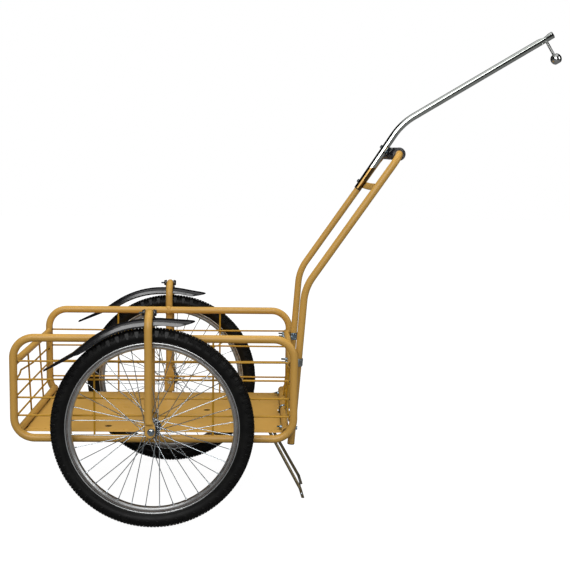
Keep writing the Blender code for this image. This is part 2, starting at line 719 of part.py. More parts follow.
def guard_sections(tilt):
    """Arched sections of the mudguard along its crest, about the bolt that holds it."""
    corners = [GUARD_REAR_END, GUARD_KINK, GUARD_REAR_SHOULDER, GUARD_FRONT_SHOULDER, GUARD_BILL, GUARD_TIP]
    radii = [GUARD_KINK_RADIUS, GUARD_SHOULDER_RADIUS, GUARD_SHOULDER_RADIUS, GUARD_BILL_RADIUS]
    arch = [math.pi * (k / 6 - 0.5) for k in range(7)]
    rings = []
    for crest, along in rounded([upright(*corner) for corner in corners], radii, [2, 6, 3, 1]):
        from_rear = (crest.x - GUARD_REAR_END[0]) / GUARD_REAR_TAPER
        from_front = (GUARD_TIP[0] - crest.x) / GUARD_FRONT_TAPER
        share = max(min(from_rear, from_front, 1.0), 0.0)
        depth = GUARD_END_DEPTH + (GUARD_DEPTH - GUARD_END_DEPTH) * share
        fullness = math.sqrt(1 - (1 - share) ** 2)
        half = GUARD_WIDTH / 2 * (GUARD_END_WIDTH_SHARE + (1 - GUARD_END_WIDTH_SHARE) * fullness)
        inner_half, inner_depth = half - GUARD_THICKNESS, depth - GUARD_THICKNESS
        outer = [(half * math.sin(a), -depth * (1 - math.cos(a))) for a in arch]
        inner = [(inner_half * math.sin(a), -GUARD_THICKNESS - inner_depth * (1 - math.cos(a))) for a in arch]
        ring = []
        for sideways, height in outer + inner[::-1]:
            point = crest + rear_of(along) * height
            ring.append(tilted(point.x, point.z, tilt) + Y * sideways)
        rings.append(ring)
    return rings


def mudguard(side, trailer, centre):
    """The arched guard, its two ears round the hoop's tube, and the bolt through them."""
    at = centre + upright(HOOP_OFFSET_X, HOOP_TOP)
    bm = bmesh.new()
    skin(bm, guard_sections(GUARD_TILTS[side]))
    made = piece(f"{side}_mudguard", bm, "black_plastic", trailer, at)
    ear_middle = HOOP_TUBE_RADIUS + GAP + EAR_THICKNESS / 2
    foot = flattened(EAR_WIDTH, EAR_THICKNESS)
    crown = flattened(EAR_WIDTH - 2 * EAR_CORNER, EAR_THICKNESS)
    ears = bmesh.new()
    for end in (-1, 1):
        x = end * ear_middle
        root = tilted(x, GUARD_FRONT_SHOULDER[1] - EAR_ROOT, GUARD_TILTS[side])
        levels = ((root.z, foot), (EAR_ABOVE_BOLT - EAR_CORNER, foot), (EAR_ABOVE_BOLT, crown))
        sweep(ears, [(upright(x, z), Z, outline) for z, outline in levels], Y)
    hole = bmesh.new()
    reach = X * (HOOP_TUBE_RADIUS + 3 * EAR_THICKNESS)
    rod(hole, -reach, reach, circle(hole_radius(BOLT_RADIUS)), Y)
    shape(made, "UNION", tool(f"{side}_guard_ears", ears, trailer, at))
    shape(made, "DIFFERENCE", tool(f"{side}_guard_hole", hole, trailer, at))
    seat = X * (ear_middle + EAR_THICKNESS / 2)
    bolt(f"{side}_mudguard_bolt", at + seat, -X, 2 * seat.x, GUARD_BOLT_TIP, trailer)


# Wheels

def tyre_profile():
    """Half of the tyre's section: crown, shoulder, side wall, bead, and back up inside."""
    height, half = TYRE_HEIGHT, TYRE_WIDTH / 2
    bead_half = RIM_WIDTH / 2 - RIM_WALL - GAP
    outside = [(height, half * 0.24), (height * 0.93, half * 0.71), (height * 0.73, half), (height * 0.41, half * 0.92)]
    bead = [(RIM_HOOK_HEIGHT + GAP, bead_half), (GAP, bead_half), (RIM_HOOK_HEIGHT + GAP, bead_half - TYRE_BEAD)]
    inside = [(height * 0.6, half - TYRE_WALL), (height - TYRE_TREAD, half * 0.37)]
    return [(RIM_SEAT_RADIUS + up, sideways) for up, sideways in outside + bead + inside]


def inner_tube_profile():
    """Half of the inner tube's section, just inside the tyre's."""
    height, half = TYRE_HEIGHT, TYRE_WIDTH / 2
    clear = INNER_TUBE_CLEARANCE
    points = [
        (height - TYRE_TREAD - clear, half * 0.30),
        (height * 0.6, half - TYRE_WALL - 2 * clear),
        (RIM_HOOK_HEIGHT + 2 * TYRE_BEAD, RIM_WIDTH / 2 - RIM_WALL - 2 * TYRE_BEAD),
    ]
    return [(RIM_SEAT_RADIUS + up, sideways) for up, sideways in points]


def rim_profile():
    """Half of the rim's section: side wall, spoke face, and the well between the bead seats."""
    half = RIM_WIDTH / 2
    points = [
        (-RIM_WELL_DEPTH, half * 0.35),
        (0.0, half - RIM_WALL),
        (RIM_HOOK_HEIGHT, half - RIM_WALL),
        (RIM_HOOK_HEIGHT, half),
        (-RIM_WELL_DEPTH, half),
        (-RIM_DEPTH, half * 0.6),
    ]
    return [(RIM_SEAT_RADIUS + up, sideways) for up, sideways in points]


def hub_profile():
    """Half of the hub's section, from its barrel out to the bearing cup."""
    half = HUB_LENGTH / 2
    flange_inside = (HUB_FLANGE_SPACING - HUB_FLANGE_THICKNESS) / 2
    flange_outside = flange_inside + HUB_FLANGE_THICKNESS
    bore = AXLE_RADIUS + HUB_BORE_CLEARANCE
    cup_outside = HUB_CUP_RADIUS + HUB_CUP_WALL
    return [
        (HUB_BARREL_RADIUS, flange_inside),
        (HUB_FLANGE_RADIUS, flange_inside),
        (HUB_FLANGE_RADIUS, flange_outside),
        (cup_outside, flange_outside),
        (cup_outside, half),
        (HUB_CUP_RADIUS, half),
        (HUB_CUP_RADIUS, half - HUB_CUP_DEPTH),
        (bore, half - HUB_CUP_DEPTH),
    ]


def spokes():
    """Spokes laced in crossing pairs from both faces of each flange to the rim."""
    bm = bmesh.new()
    outline = circle(SPOKE_RADIUS, SPOKE_SIDES)
    rim_radius = RIM_SEAT_RADIUS - RIM_DEPTH - GAP
    face = HUB_FLANGE_THICKNESS / 2 + 0.35 * SPOKE_RADIUS
    for k in range(SPOKE_COUNT):
        rim_turn = 2 * math.pi * k / SPOKE_COUNT
        flange = 1 if k % 2 else -1
        leading = 1 if (k // 2) % 2 else -1
        hub_y = flange * (HUB_FLANGE_SPACING / 2 + leading * face)
        rim_y = flange * SPOKE_RIM_OFFSET * (1 + 0.5 * leading)
        hub = slope(rim_turn + leading * SPOKE_CROSS_ANGLE) * SPOKE_CIRCLE_RADIUS + Y * hub_y
        rim = slope(rim_turn) * rim_radius + Y * rim_y
        rod(bm, hub - (rim - hub).normalized() * SPOKE_HEAD, rim, outline, Y)
    return bm


def wheel(side, spin):
    """The pieces that turn together on one axle line."""
    for name, profile, finish in (
        ("tyre", tyre_profile(), "tyre_rubber"),
        ("inner_tube", inner_tube_profile(), "tube_rubber"),
        ("rim", rim_profile(), "alloy"),
    ):
        bm = bmesh.new()
        turned(bm, mirrored(profile), WHEEL_SEGMENTS)
        piece(f"{side}_{name}", bm, finish, spin)
    bm = bmesh.new()
    turned(bm, mirrored(hub_profile()), HUB_SEGMENTS)
    made = piece(f"{side}_hub_and_spokes", bm, "steel", spin)
    shape(made, "UNION", tool(f"{side}_spokes", spokes(), spin))


def axle_nut(name, face, outward, parent, centre):
    """A nut with its washer, seated on a face and open down its middle."""
    washer, nut, bore = circle(WASHER_RADIUS), hexagon(AXLE_NUT_ACROSS_FLATS), circle(hole_radius(AXLE_RADIUS))
    rim = GAP + WASHER_THICKNESS
    top = rim + AXLE_NUT_HEIGHT
    sections = [(GAP, washer), (rim, washer), (rim, nut), (top, nut), (top, bore), (GAP, bore)]
    bm = bmesh.new()
    stack(bm, Y * face, outward, X, sections, closed=True)
    piece(name, bm, "zinc", parent, centre)


def bearing_cone(name, plate_face, outward, parent, centre):
    """The cone that carries the hub's cup, with the spacer that reaches the hoop's leg."""
    nose, body = circle(HUB_CUP_RADIUS * math.cos(math.pi / HUB_SEGMENTS) - RUNNING_CLEARANCE), circle(CONE_RADIUS)
    bore = circle(hole_radius(AXLE_RADIUS))
    mouth = HUB_LENGTH / 2
    start = mouth - HUB_CUP_DEPTH + RUNNING_CLEARANCE
    step = mouth + RUNNING_CLEARANCE
    end = plate_face - GAP
    sections = [(start, nose), (step, nose), (step, body), (end, body), (end, bore), (start, bore)]
    bm = bmesh.new()
    stack(bm, Vector(), outward, X, sections, closed=True)
    piece(name, bm, "steel", parent, centre)


def axle_set(side, sign, trailer, centre):
    """The fixed axle with its nuts and cones, between the hoop's two legs."""
    out = Y * sign
    nut_stack = GAP + WASHER_THICKNESS + AXLE_NUT_HEIGHT + AXLE_END
    bm = bmesh.new()
    rod(bm, out * (INNER_PLATE_BACK - nut_stack), out * (OUTER_PLATE_FACE + nut_stack), circle(AXLE_RADIUS), X)
    piece(f"{side}_axle", bm, "zinc", trailer, centre)
    axle_nut(f"{side}_outer_axle_nut", sign * OUTER_PLATE_FACE, out, trailer, centre)
    axle_nut(f"{side}_inner_axle_nut", sign * INNER_PLATE_BACK, -out, trailer, centre)
    outer_plate = OUTER_PLATE_FACE - OUTER_LEG_THICKNESS
    inner_plate = -INNER_PLATE_BACK - INNER_LEG_THICKNESS
    bearing_cone(f"{side}_outer_bearing_cone", outer_plate, out, trailer, centre)
    bearing_cone(f"{side}_inner_bearing_cone", inner_plate, -out, trailer, centre)


# Bolts

def bolt(name, seat, along, grip, tip, parent, finish="zinc"):
    """A hexagon bolt with its nut: seat is on the face under the head, and grip is what it clamps."""
    shank = circle(BOLT_RADIUS)
    head = hexagon(BOLT_ACROSS_FLATS)
    under_head, under_nut = -GAP, grip + GAP
    top_of_nut = under_nut + BOLT_NUT_HEIGHT
    sections = [
        (under_head - BOLT_HEAD_HEIGHT, head),
        (under_head, head),
        (under_head, shank),
        (under_nut, shank),
        (under_nut, head),
        (top_of_nut, head),
        (top_of_nut, shank),
        (top_of_nut + tip, shank),
    ]
    bm = bmesh.new()
    across = Y if abs(along.y) < 0.5 else X
    stack(bm, Vector(), along, across, sections)
    piece(name, bm, finish, parent, seat)


def strap_bolts():
    """Name, seat, direction and grip of the bolts through each leg's strap and the top cross tube."""
    front = LEG_AT_TOP_BAR + LEG_REAR * (HANDLE_TUBE_RADIUS - STRAP_THICKNESS)
    grip = STRAP_THICKNESS + GAP + 2 * BAR_RADIUS
    found = []
    for side, sign in SIDES.items():
        for place_name, reach in (("outer", STRAP_BOLT_REACH), ("inner", -STRAP_BOLT_REACH)):
            seat = front + Y * sign * (HANDLE_Y + reach)
            found.append((f"{side}_{place_name}_strap_bolt", seat, LEG_REAR, grip, STRAP_BOLT_TIP))
    return found


def leg_bolts():
    """The bolts through each leg and the lower cross tube."""
    front = LEG_AT_LOWER_BAR - LEG_REAR * HANDLE_TUBE_RADIUS
    grip = 2 * HANDLE_TUBE_RADIUS + GAP + 2 * BAR_RADIUS
    return [
        (f"{side}_leg_bolt", front + Y * sign * HANDLE_Y, LEG_REAR, grip, LEG_BOLT_TIP)
        for side, sign in SIDES.items()
    ]


def drawbar_bolts():
    """The bolts through the drawbar and, in turn, the handle's grip tube and the strip between its legs."""
    behind = DRAWBAR_REAR * DRAWBAR_RADIUS
    through_bar = 2 * DRAWBAR_RADIUS + GAP + SPACER_THICKNESS + GAP + 2 * HANDLE_TUBE_RADIUS
    through_strip = 2 * DRAWBAR_RADIUS + GAP + STRIP_THICKNESS
    return [
        ("drawbar_upper_bolt", DRAWBAR_CROSSING + behind, -DRAWBAR_REAR, through_bar, DRAWBAR_BOLT_TIP),
        ("drawbar_lower_bolt", STRIP_CROSSING + behind, -DRAWBAR_REAR, through_strip, DRAWBAR_BOLT_TIP),
    ]


def bolts(trailer):
    """Every bolt at the handle, and one tool that cuts all their holes."""
    holes = bmesh.new()
    hole = circle(hole_radius(BOLT_RADIUS))
    for name, seat, along, grip, tip in strap_bolts() + leg_bolts() + drawbar_bolts():
        bolt(name, seat, along, grip, tip, trailer)
        rod(holes, seat - along * BOLT_RADIUS, seat + along * (grip + BOLT_RADIUS), hole, Y)
    return tool("bolt_holes", holes, trailer)


# Handle, straps, grips and plugs

def handle_stations(radius):
    leg = Y * HANDLE_Y
    corners = [LEG_END - leg, HANDLE_KINK - leg, HANDLE_BAR - leg, HANDLE_BAR + leg, HANDLE_KINK + leg, LEG_END + leg]
    radii = [HANDLE_KINK_RADIUS, HANDLE_CORNER_RADIUS, HANDLE_CORNER_RADIUS, HANDLE_KINK_RADIUS]
    return along_path(rounded(corners, radii, [5, 6, 6, 5]), circle(radius))


def plug(name, at, outward, tube_radius, parent):
    stem, head = circle(tube_radius - PLUG_STEM_WALL), circle(tube_radius)
    top = GAP + PLUG_HEAD
    sections = [(-PLUG_STEM_LENGTH, stem), (GAP, stem), (GAP, head), (top, head)]
    bm = bmesh.new()
    stack(bm, Vector(), outward, Y, sections)
    piece(name, bm, "black_plastic", parent, at)


def end_bore(tube_radius):
    return circle(hole_radius(tube_radius - PLUG_STEM_WALL))


def handle(trailer, bolt_holes):
    bm = bmesh.new()
    bore_depth = PLUG_STEM_LENGTH + GAP
    sweep(bm, with_end_bores(handle_stations(HANDLE_TUBE_RADIUS), end_bore(HANDLE_TUBE_RADIUS), bore_depth), Y)
    made = piece("handle", bm, "ochre_paint", trailer)
    shape(made, "DIFFERENCE", bolt_holes)
    for side, sign in SIDES.items():
        plug(f"{side}_leg_plug", LEG_END + Y * sign * HANDLE_Y, -LEG_ALONG, HANDLE_TUBE_RADIUS, trailer)


def strap(side, sign, trailer, bolt_holes):
    """A saddle strap bent round the front of a leg, with an ear each side against the top cross tube."""
    wrap = HANDLE_TUBE_RADIUS + GAP + STRAP_THICKNESS / 2
    ear = HANDLE_TUBE_RADIUS - STRAP_THICKNESS / 2
    reach = STRAP_BOLT_REACH + STRAP_EAR_MARGIN
    corners = [
        LEG_REAR * ear - Y * reach,
        LEG_REAR * ear - Y * wrap,
        -LEG_REAR * wrap - Y * wrap,
        -LEG_REAR * wrap + Y * wrap,
        LEG_REAR * ear + Y * wrap,
        LEG_REAR * ear + Y * reach,
    ]
    path = rounded(corners, [STRAP_BEND_RADIUS, wrap, wrap, STRAP_BEND_RADIUS], [2, 4, 4, 2])
    bm = bmesh.new()
    sweep(bm, along_path(path, rectangle(STRAP_HEIGHT, STRAP_THICKNESS)), LEG_ALONG)
    made = piece(f"{side}_leg_strap", bm, "zinc", trailer, LEG_AT_TOP_BAR + Y * sign * HANDLE_Y)
    shape(made, "DIFFERENCE", bolt_holes)


def grip(side, sign, trailer):
    """A finger-ridged sleeve on the grip tube, with its flange against the bend."""
    start = HANDLE_STRAIGHT_Y
    end = DRAWBAR_RADIUS + GRIP_INNER_GAP
    flange_end = start - GRIP_FLANGE_THICKNESS
    pitch = (flange_end - end) / GRIP_RIDGES
    bore = circle(hole_radius(HANDLE_TUBE_RADIUS))
    low = circle(GRIP_RADIUS)
    high = circle(GRIP_RADIUS + GRIP_RIDGE_HEIGHT)
    flange = circle(GRIP_FLANGE_RADIUS)
    sections = [(start, bore), (start, flange), (flange_end, flange), (flange_end, low)]
    for k in range(GRIP_RIDGES):
        sections.append((flange_end - (k + 0.5) * pitch, high))
        sections.append((flange_end - (k + 1) * pitch, low))
    sections.append((end, bore))
    bm = bmesh.new()
    stack(bm, Vector(), Y * sign, X, sections, closed=True)
    piece(f"{side}_grip", bm, "black_rubber", trailer, HANDLE_BAR)


# Drawbar and hitch

def drawbar(trailer, bolt_holes):
    path = rounded([DRAWBAR_FOOT, DRAWBAR_BEND, DRAWBAR_TIP], [DRAWBAR_BEND_RADIUS], [7])
    stations = along_path(path, circle(DRAWBAR_RADIUS))
    bm = bmesh.new()
    sweep(bm, with_end_bores(stations, end_bore(DRAWBAR_RADIUS), PLUG_STEM_LENGTH + GAP), Y)
    made = piece("drawbar", bm, "chrome", trailer)
    cuts = bmesh.new()
    pin_start = HITCH_TOP - HITCH_DOWN * (HITCH_PIN_SEAT + GAP)
    pin_hole = circle(hole_radius(HITCH_PIN_RADIUS, HITCH_SIDES), HITCH_SIDES)
    rod(cuts, pin_start, HITCH_TOP + HITCH_DOWN * 2 * DRAWBAR_RADIUS, pin_hole, Y)
    dimple = HITCH_TOP - HITCH_DOWN * (DRAWBAR_RADIUS - DIMPLE_DEPTH + DIMPLE_RADIUS)
    rod(cuts, dimple - Y * 2 * DRAWBAR_RADIUS, dimple + Y * 2 * DRAWBAR_RADIUS, circle(DIMPLE_RADIUS, 24), X)
    shape(made, "DIFFERENCE", bolt_holes, tool("drawbar_cuts", cuts, trailer))
    plug("drawbar_lower_plug", DRAWBAR_FOOT, -DRAWBAR_LOWER, DRAWBAR_RADIUS, trailer)
    plug("drawbar_upper_plug", DRAWBAR_TIP, DRAWBAR_UPPER, DRAWBAR_RADIUS, trailer)


def drawbar_seats(trailer, bolt_holes):
    """The spacer on the grip tube and the strip between the legs, which the drawbar is bolted against."""
    bm = bmesh.new()
    near = HANDLE_BAR + DRAWBAR_REAR * (HANDLE_TUBE_RADIUS + GAP)
    rod(bm, near, near + DRAWBAR_REAR * SPACER_THICKNESS, rectangle(SPACER_SIZE, SPACER_SIZE), Y)
    shape(piece("drawbar_spacer", bm, "zinc", trailer), "DIFFERENCE", bolt_holes)
    bm = bmesh.new()
    middle = STRIP_CROSSING - DRAWBAR_REAR * (DRAWBAR_RADIUS + GAP + STRIP_THICKNESS / 2)
    outline = rectangle(STRIP_WIDTH, STRIP_THICKNESS)
    rod(bm, middle - Y * HANDLE_Y, middle + Y * HANDLE_Y, outline, DRAWBAR_LOWER)
    cope = bmesh.new()
    sweep(cope, handle_stations(HANDLE_TUBE_RADIUS + GAP), Y)
    made = piece("handle_strip", bm, "ochre_paint", trailer)
    shape(made, "DIFFERENCE", bolt_holes, tool("handle_cope", cope, trailer))


def hitch(trailer):
    """A ball with flats forged on the end of a pin, which is set in the drawbar's end."""
    half = HITCH_BALL_HEIGHT / 2
    pin = circle(HITCH_PIN_RADIUS, HITCH_SIDES)
    steps = 6
    heights = [half * math.sin(math.pi / 2 * (2 * k / steps - 1)) for k in range(steps + 1)]
    sections = [(-HITCH_PIN_SEAT, pin), (HITCH_REACH - half, pin)]
    for at in heights:
        sections.append((HITCH_REACH + at, circle(math.sqrt(HITCH_BALL_RADIUS**2 - at**2), HITCH_SIDES)))
    bm = bmesh.new()
    stack(bm, Vector(), HITCH_DOWN, Y, sections)
    piece("hitch_ball", bm, "steel", trailer, HITCH_TOP)


# Stand

def stand_corners():
    """The stand's bent rod about its pivot, from one foot up through the sleeve and down to the other."""
    ground = -STAND_PIVOT.z
    knee_z = ground + STAND_KNEE_HEIGHT
    knee_x = -knee_z * math.tan(STAND_ANGLE)
    foot_x = knee_x + STAND_KNEE_HEIGHT * math.tan(STAND_FOOT_ANGLE)
    spread = (STAND_FOOT_WIDTH - STAND_TOP_WIDTH) / 2
    top_y = STAND_TOP_WIDTH / 2
    knee_y = top_y + spread * knee_z / ground
    foot_y = top_y + spread
    leg = [Vector((foot_x, foot_y, ground)), Vector((knee_x, knee_y, knee_z)), Vector((0, top_y, 0))]
    return [Vector((x, -y, z)) for x, y, z in leg] + leg[::-1]


def stand_rod(corners, radius):
    """The bent rod, cut off flat on the ground."""
    path = rounded(corners, [STAND_BEND_RADIUS] * 4, [3] * 4)
    path[0] = (path[0][0], Z)
    path[-1] = (path[-1][0], -Z)
    bm = bmesh.new()
    sweep(bm, along_path(path, circle(radius)), X)
    return bm


def stand(trailer):
    corners = stand_corners()
    pivot = empty("stand_pivot", trailer, STAND_PIVOT)
    piece("stand", stand_rod(corners, STAND_ROD_RADIUS), "yellow_zinc", pivot)
    at = corners[0].lerp(corners[1], BRACE_HEIGHT / STAND_KNEE_HEIGHT)
    reach = Y * abs(at.y)
    middle = upright(at.x, at.z)
    lean = upright(math.sin(STAND_FOOT_ANGLE), -math.cos(STAND_FOOT_ANGLE))
    bm = bmesh.new()
    rod(bm, middle - reach, middle + reach, rectangle(BRACE_DEPTH, BRACE_THICKNESS), lean)
    made = piece("stand_brace", bm, "zinc", pivot)
    shape(made, "DIFFERENCE", tool("stand_cope", stand_rod(corners, STAND_ROD_RADIUS + GAP), pivot))
    return corners


def stand_bracket(trailer, corners):
    """A plate under the front cross tube with a sleeve for the stand, and the U-bolt that clamps it there."""
    bend = (corners[1] - corners[2]).angle(corners[3] - corners[2])
    straight = STAND_TOP_WIDTH / 2 - STAND_BEND_RADIUS / math.tan(bend / 2)
    sleeve_reach = Y * (straight - RUNNING_CLEARANCE)
    front_x = FRONT_LOWER_BAR.x + U_BOLT_REACH + BRACKET_MARGIN
    plate_z = BRACKET_TOP_Z - BRACKET_THICKNESS / 2
    bm = bmesh.new()
    plate = rectangle(BRACKET_WIDTH, BRACKET_THICKNESS)
    rod(bm, upright(STAND_PIVOT.x - SLEEVE_RADIUS, plate_z), upright(front_x, plate_z), plate, Y)
    made = piece("stand_bracket", bm, "ochre_paint", trailer)
    sleeve = bmesh.new()
    rod(sleeve, STAND_PIVOT - sleeve_reach, STAND_PIVOT + sleeve_reach, circle(SLEEVE_RADIUS), X)
    cuts = bmesh.new()
    rod(cuts, STAND_PIVOT - 2 * sleeve_reach, STAND_PIVOT + 2 * sleeve_reach, circle(SLEEVE_BORE), X)
    nut_top = BRACKET_TOP_Z - BRACKET_THICKNESS - GAP
    leg_end = nut_top - U_BOLT_NUT_HEIGHT - U_BOLT_TIP
    rear_leg = FRONT_LOWER_BAR.x - U_BOLT_REACH
    front_leg = FRONT_LOWER_BAR.x + U_BOLT_REACH
    for x in (rear_leg, front_leg):
        rod(cuts, upright(x, leg_end), upright(x, BRACKET_TOP_Z + GAP), circle(hole_radius(U_BOLT_RADIUS)), X)
    shape(made, "UNION", tool("stand_sleeve", sleeve, trailer))
    shape(made, "DIFFERENCE", tool("bracket_cuts", cuts, trailer))
    over_bar = FRONT_LOWER_BAR.z + U_BOLT_REACH
    corner_points = [
        upright(rear_leg, leg_end),
        upright(rear_leg, over_bar),
        upright(front_leg, over_bar),
        upright(front_leg, leg_end),
    ]
    path = rounded(corner_points, [U_BOLT_REACH, U_BOLT_REACH], [4, 4])
    wire, nut = circle(U_BOLT_RADIUS), hexagon(U_BOLT_ACROSS_FLATS)
    nut_levels = [
        (nut_top - U_BOLT_NUT_HEIGHT, wire),
        (nut_top - U_BOLT_NUT_HEIGHT, nut),
        (nut_top, nut),
        (nut_top, wire),
    ]
    rising = [(upright(rear_leg, z), Z, outline) for z, outline in nut_levels]
    falling = [(upright(front_leg, z), -Z, outline) for z, outline in reversed(nut_levels)]
    stations = along_path(path, wire)
    bm = bmesh.new()
    sweep(bm, stations[:1] + rising + stations[1:-1] + falling + stations[-1:], Y)
    piece("stand_clamp", bm, "zinc", trailer)


def main():
    for old in list(bpy.data.objects):
        bpy.data.objects.remove(old)
    trailer = empty("trailer", None, (-ORIGIN_X, 0, 0))
    bolt_holes = bolts(trailer)
    copes = side_frames(trailer)
    cross_bars(trailer, copes, bolt_holes)
    side_meshes(trailer)
    end_meshes(trailer)
    floor(trailer)
    for side, sign in SIDES.items():
        centre = Vector((0, sign * WHEEL_Y, AXLE_Z))
        wheel_hoop(side, sign, trailer, centre)
        mudguard(side, trailer, centre)
        axle_set(side, sign, trailer, centre)
        wheel(side, empty(f"{side}_wheel_spin", trailer, centre))
        strap(side, sign, trailer, bolt_holes)
        grip(side, sign, trailer)
    handle(trailer, bolt_holes)
    drawbar(trailer, bolt_holes)
    drawbar_seats(trailer, bolt_holes)
    hitch(trailer)
    stand_bracket(trailer, stand(trailer))


main()
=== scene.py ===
"""The looks of the bicycle trailer: tubes, treaded tyres, laced wheels, welds, bolts and their finishes.

Every length is in metres. Shapes are worked out from the axle line, as far ahead of it, to the left and up
from the ground, and each object is then set down where the frame has that line."""

import json
import math
import random

import bmesh
import bpy
from mathutils import Matrix, Vector

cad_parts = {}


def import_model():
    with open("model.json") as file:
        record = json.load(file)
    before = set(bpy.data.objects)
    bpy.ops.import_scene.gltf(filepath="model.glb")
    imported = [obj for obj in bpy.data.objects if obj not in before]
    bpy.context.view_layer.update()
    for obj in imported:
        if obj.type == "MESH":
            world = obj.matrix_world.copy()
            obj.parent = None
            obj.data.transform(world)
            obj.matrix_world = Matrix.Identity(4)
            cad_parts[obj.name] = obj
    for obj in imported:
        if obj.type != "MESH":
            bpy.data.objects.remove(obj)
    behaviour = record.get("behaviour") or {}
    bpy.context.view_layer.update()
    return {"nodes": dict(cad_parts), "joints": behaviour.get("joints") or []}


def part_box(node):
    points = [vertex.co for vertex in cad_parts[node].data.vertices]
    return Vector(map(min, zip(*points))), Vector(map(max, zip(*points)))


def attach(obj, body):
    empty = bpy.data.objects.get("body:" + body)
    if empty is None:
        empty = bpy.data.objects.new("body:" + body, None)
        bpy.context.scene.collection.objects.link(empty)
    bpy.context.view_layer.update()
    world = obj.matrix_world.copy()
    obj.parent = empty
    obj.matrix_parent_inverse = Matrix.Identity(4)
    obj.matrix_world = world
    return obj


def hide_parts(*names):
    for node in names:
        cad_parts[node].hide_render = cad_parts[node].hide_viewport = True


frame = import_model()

X, Y, Z = Vector((1, 0, 0)), Vector((0, 1, 0)), Vector((0, 0, 1))
SIDES = {"right": -1, "left": 1}


def middle(node):
    """The middle of a CAD node's box."""
    low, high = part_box(node)
    return (low + high) / 2


def upright(x, z):
    """A point or direction in the trailer's upright middle plane."""
    return Vector((x, 0, z))


def slope(angle):
    """The direction at an angle above straight ahead."""
    return upright(math.cos(angle), math.sin(angle))


def rear_of(along):
    """Square to a direction in the middle plane, towards its rear or upper side."""
    return upright(-along.z, along.x)


# Where the frame has the axle line, the wheels and the tubes
HOME = upright(middle("right_axle").x, 0)
AXLE_Z = middle("right_axle").z
WHEEL_Y = middle("left_tyre").y
FRAME_LOW, FRAME_HIGH = [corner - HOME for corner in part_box("left_side_frame")]
FRAME_Y = (FRAME_LOW.y + FRAME_HIGH.y) / 2
FRAME_TUBE = (FRAME_HIGH.y - FRAME_LOW.y) / 2
FRAME_REAR, FRAME_FRONT = FRAME_LOW.x + FRAME_TUBE, FRAME_HIGH.x - FRAME_TUBE
FRAME_BOTTOM, FRAME_TOP = FRAME_LOW.z + FRAME_TUBE, FRAME_HIGH.z - FRAME_TUBE
FRAME_MIDDLE = (FRAME_REAR + FRAME_FRONT) / 2
FRAME_HALF = (FRAME_FRONT - FRAME_REAR) / 2
FRAME_CORNER = 0.062
BAR_NAMES = ("rear_top_bar", "rear_lower_bar", "front_top_bar", "front_lower_bar")
BARS = {name: middle(name) - HOME for name in BAR_NAMES}
BAR_TUBE = 0.0110
FLOOR_LOW, FLOOR_HIGH = [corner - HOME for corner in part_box("floor_pan")]

# Handle
HANDLE_TUBE = 0.0112
HANDLE_Y = FRAME_Y - 0.0575
HANDLE_TAIL = 0.0490
HANDLE_KINK_AT = 0.4370
HANDLE_KINK_RADIUS = 0.150
HANDLE_UPPER_ANGLE = math.radians(55.25)
HANDLE_UPPER_LENGTH = 0.4970
HANDLE_CORNER = 0.045
GAP = 0.0003
LEG_ALONG = (BARS["front_top_bar"] - BARS["front_lower_bar"]).normalized()
LEG_REAR = rear_of(LEG_ALONG)
LEG_OFFSET = LEG_REAR * (BAR_TUBE + HANDLE_TUBE + GAP)
LEG_LOW = BARS["front_lower_bar"] - LEG_OFFSET
LEG_TOP = BARS["front_top_bar"] - LEG_OFFSET
LEG_END = LEG_LOW - LEG_ALONG * HANDLE_TAIL
HANDLE_KINK = LEG_LOW + LEG_ALONG * HANDLE_KINK_AT
HANDLE_BAR = HANDLE_KINK + slope(HANDLE_UPPER_ANGLE) * HANDLE_UPPER_LENGTH

# Drawbar and hitch
DRAWBAR_TUBE = 0.0112
DRAWBAR_LOWER = slope(math.radians(56.6))
DRAWBAR_UPPER = slope(math.radians(31.04))
DRAWBAR_BELOW = 0.1530
DRAWBAR_ABOVE = 0.0963
DRAWBAR_BEND_RADIUS = 0.200
DRAWBAR_LENGTH = 0.5543
SPACER = 0.0048
STRIP_FROM_FOOT = 0.0215
HITCH_FROM_TIP = 0.025
HITCH_REACH = 0.072
# Where the painted gold reflection on the drawbar's lower end stops: its length from the foot, the softness
# of its edge and the slant of that edge.
GOLD_LENGTH, GOLD_EDGE, GOLD_LEAN = 0.080, 0.001, 0.7
DRAWBAR_REAR = rear_of(DRAWBAR_LOWER)
DRAWBAR_CROSSING = HANDLE_BAR + DRAWBAR_REAR * (HANDLE_TUBE + DRAWBAR_TUBE + SPACER + 2 * GAP)
DRAWBAR_FOOT = DRAWBAR_CROSSING - DRAWBAR_LOWER * DRAWBAR_BELOW
DRAWBAR_BEND = DRAWBAR_CROSSING + DRAWBAR_LOWER * DRAWBAR_ABOVE
DRAWBAR_TIP = DRAWBAR_BEND + DRAWBAR_UPPER * DRAWBAR_LENGTH
STRIP_AT = DRAWBAR_FOOT + DRAWBAR_LOWER * STRIP_FROM_FOOT
HITCH_DOWN = -rear_of(DRAWBAR_UPPER)
HITCH_TOP = DRAWBAR_TIP - DRAWBAR_UPPER * HITCH_FROM_TIP

# Wheels
RIM_SEAT = 0.2535
SPOKE_COUNT = 36
WHEEL_STEPS = 144
HUB_STEPS = 48
TREAD_PITCHES = 62


# Shapes

SHARP = 38
HEX_FACE = 0.96
HEX_CHAMFER = 0.55
BLOB_SWELL, BLOB_WAVES, BLOB_SPREAD = 0.16, 5, 0.3
THREAD_PITCH, THREAD_DEPTH = 0.0009, 0.0003


def held(value):
    return min(max(value, 0.0), 1.0)


def eased(value):
    """Rises smoothly from 0 to 1, and is held at the ends."""
    value = held(value)
    return value * value * (3 - 2 * value)


def evenly(start, end, steps):
    """Values in even steps from start to end, with both."""
    return [start + (end - start) * k / steps for k in range(steps + 1)]


def circle(radius, sides=28):
    """An outline: pairs of how far its points lie along two axes."""
    turns = [2 * math.pi * k / sides for k in range(sides)]
    return [(radius * math.cos(turn), radius * math.sin(turn)) for turn in turns]


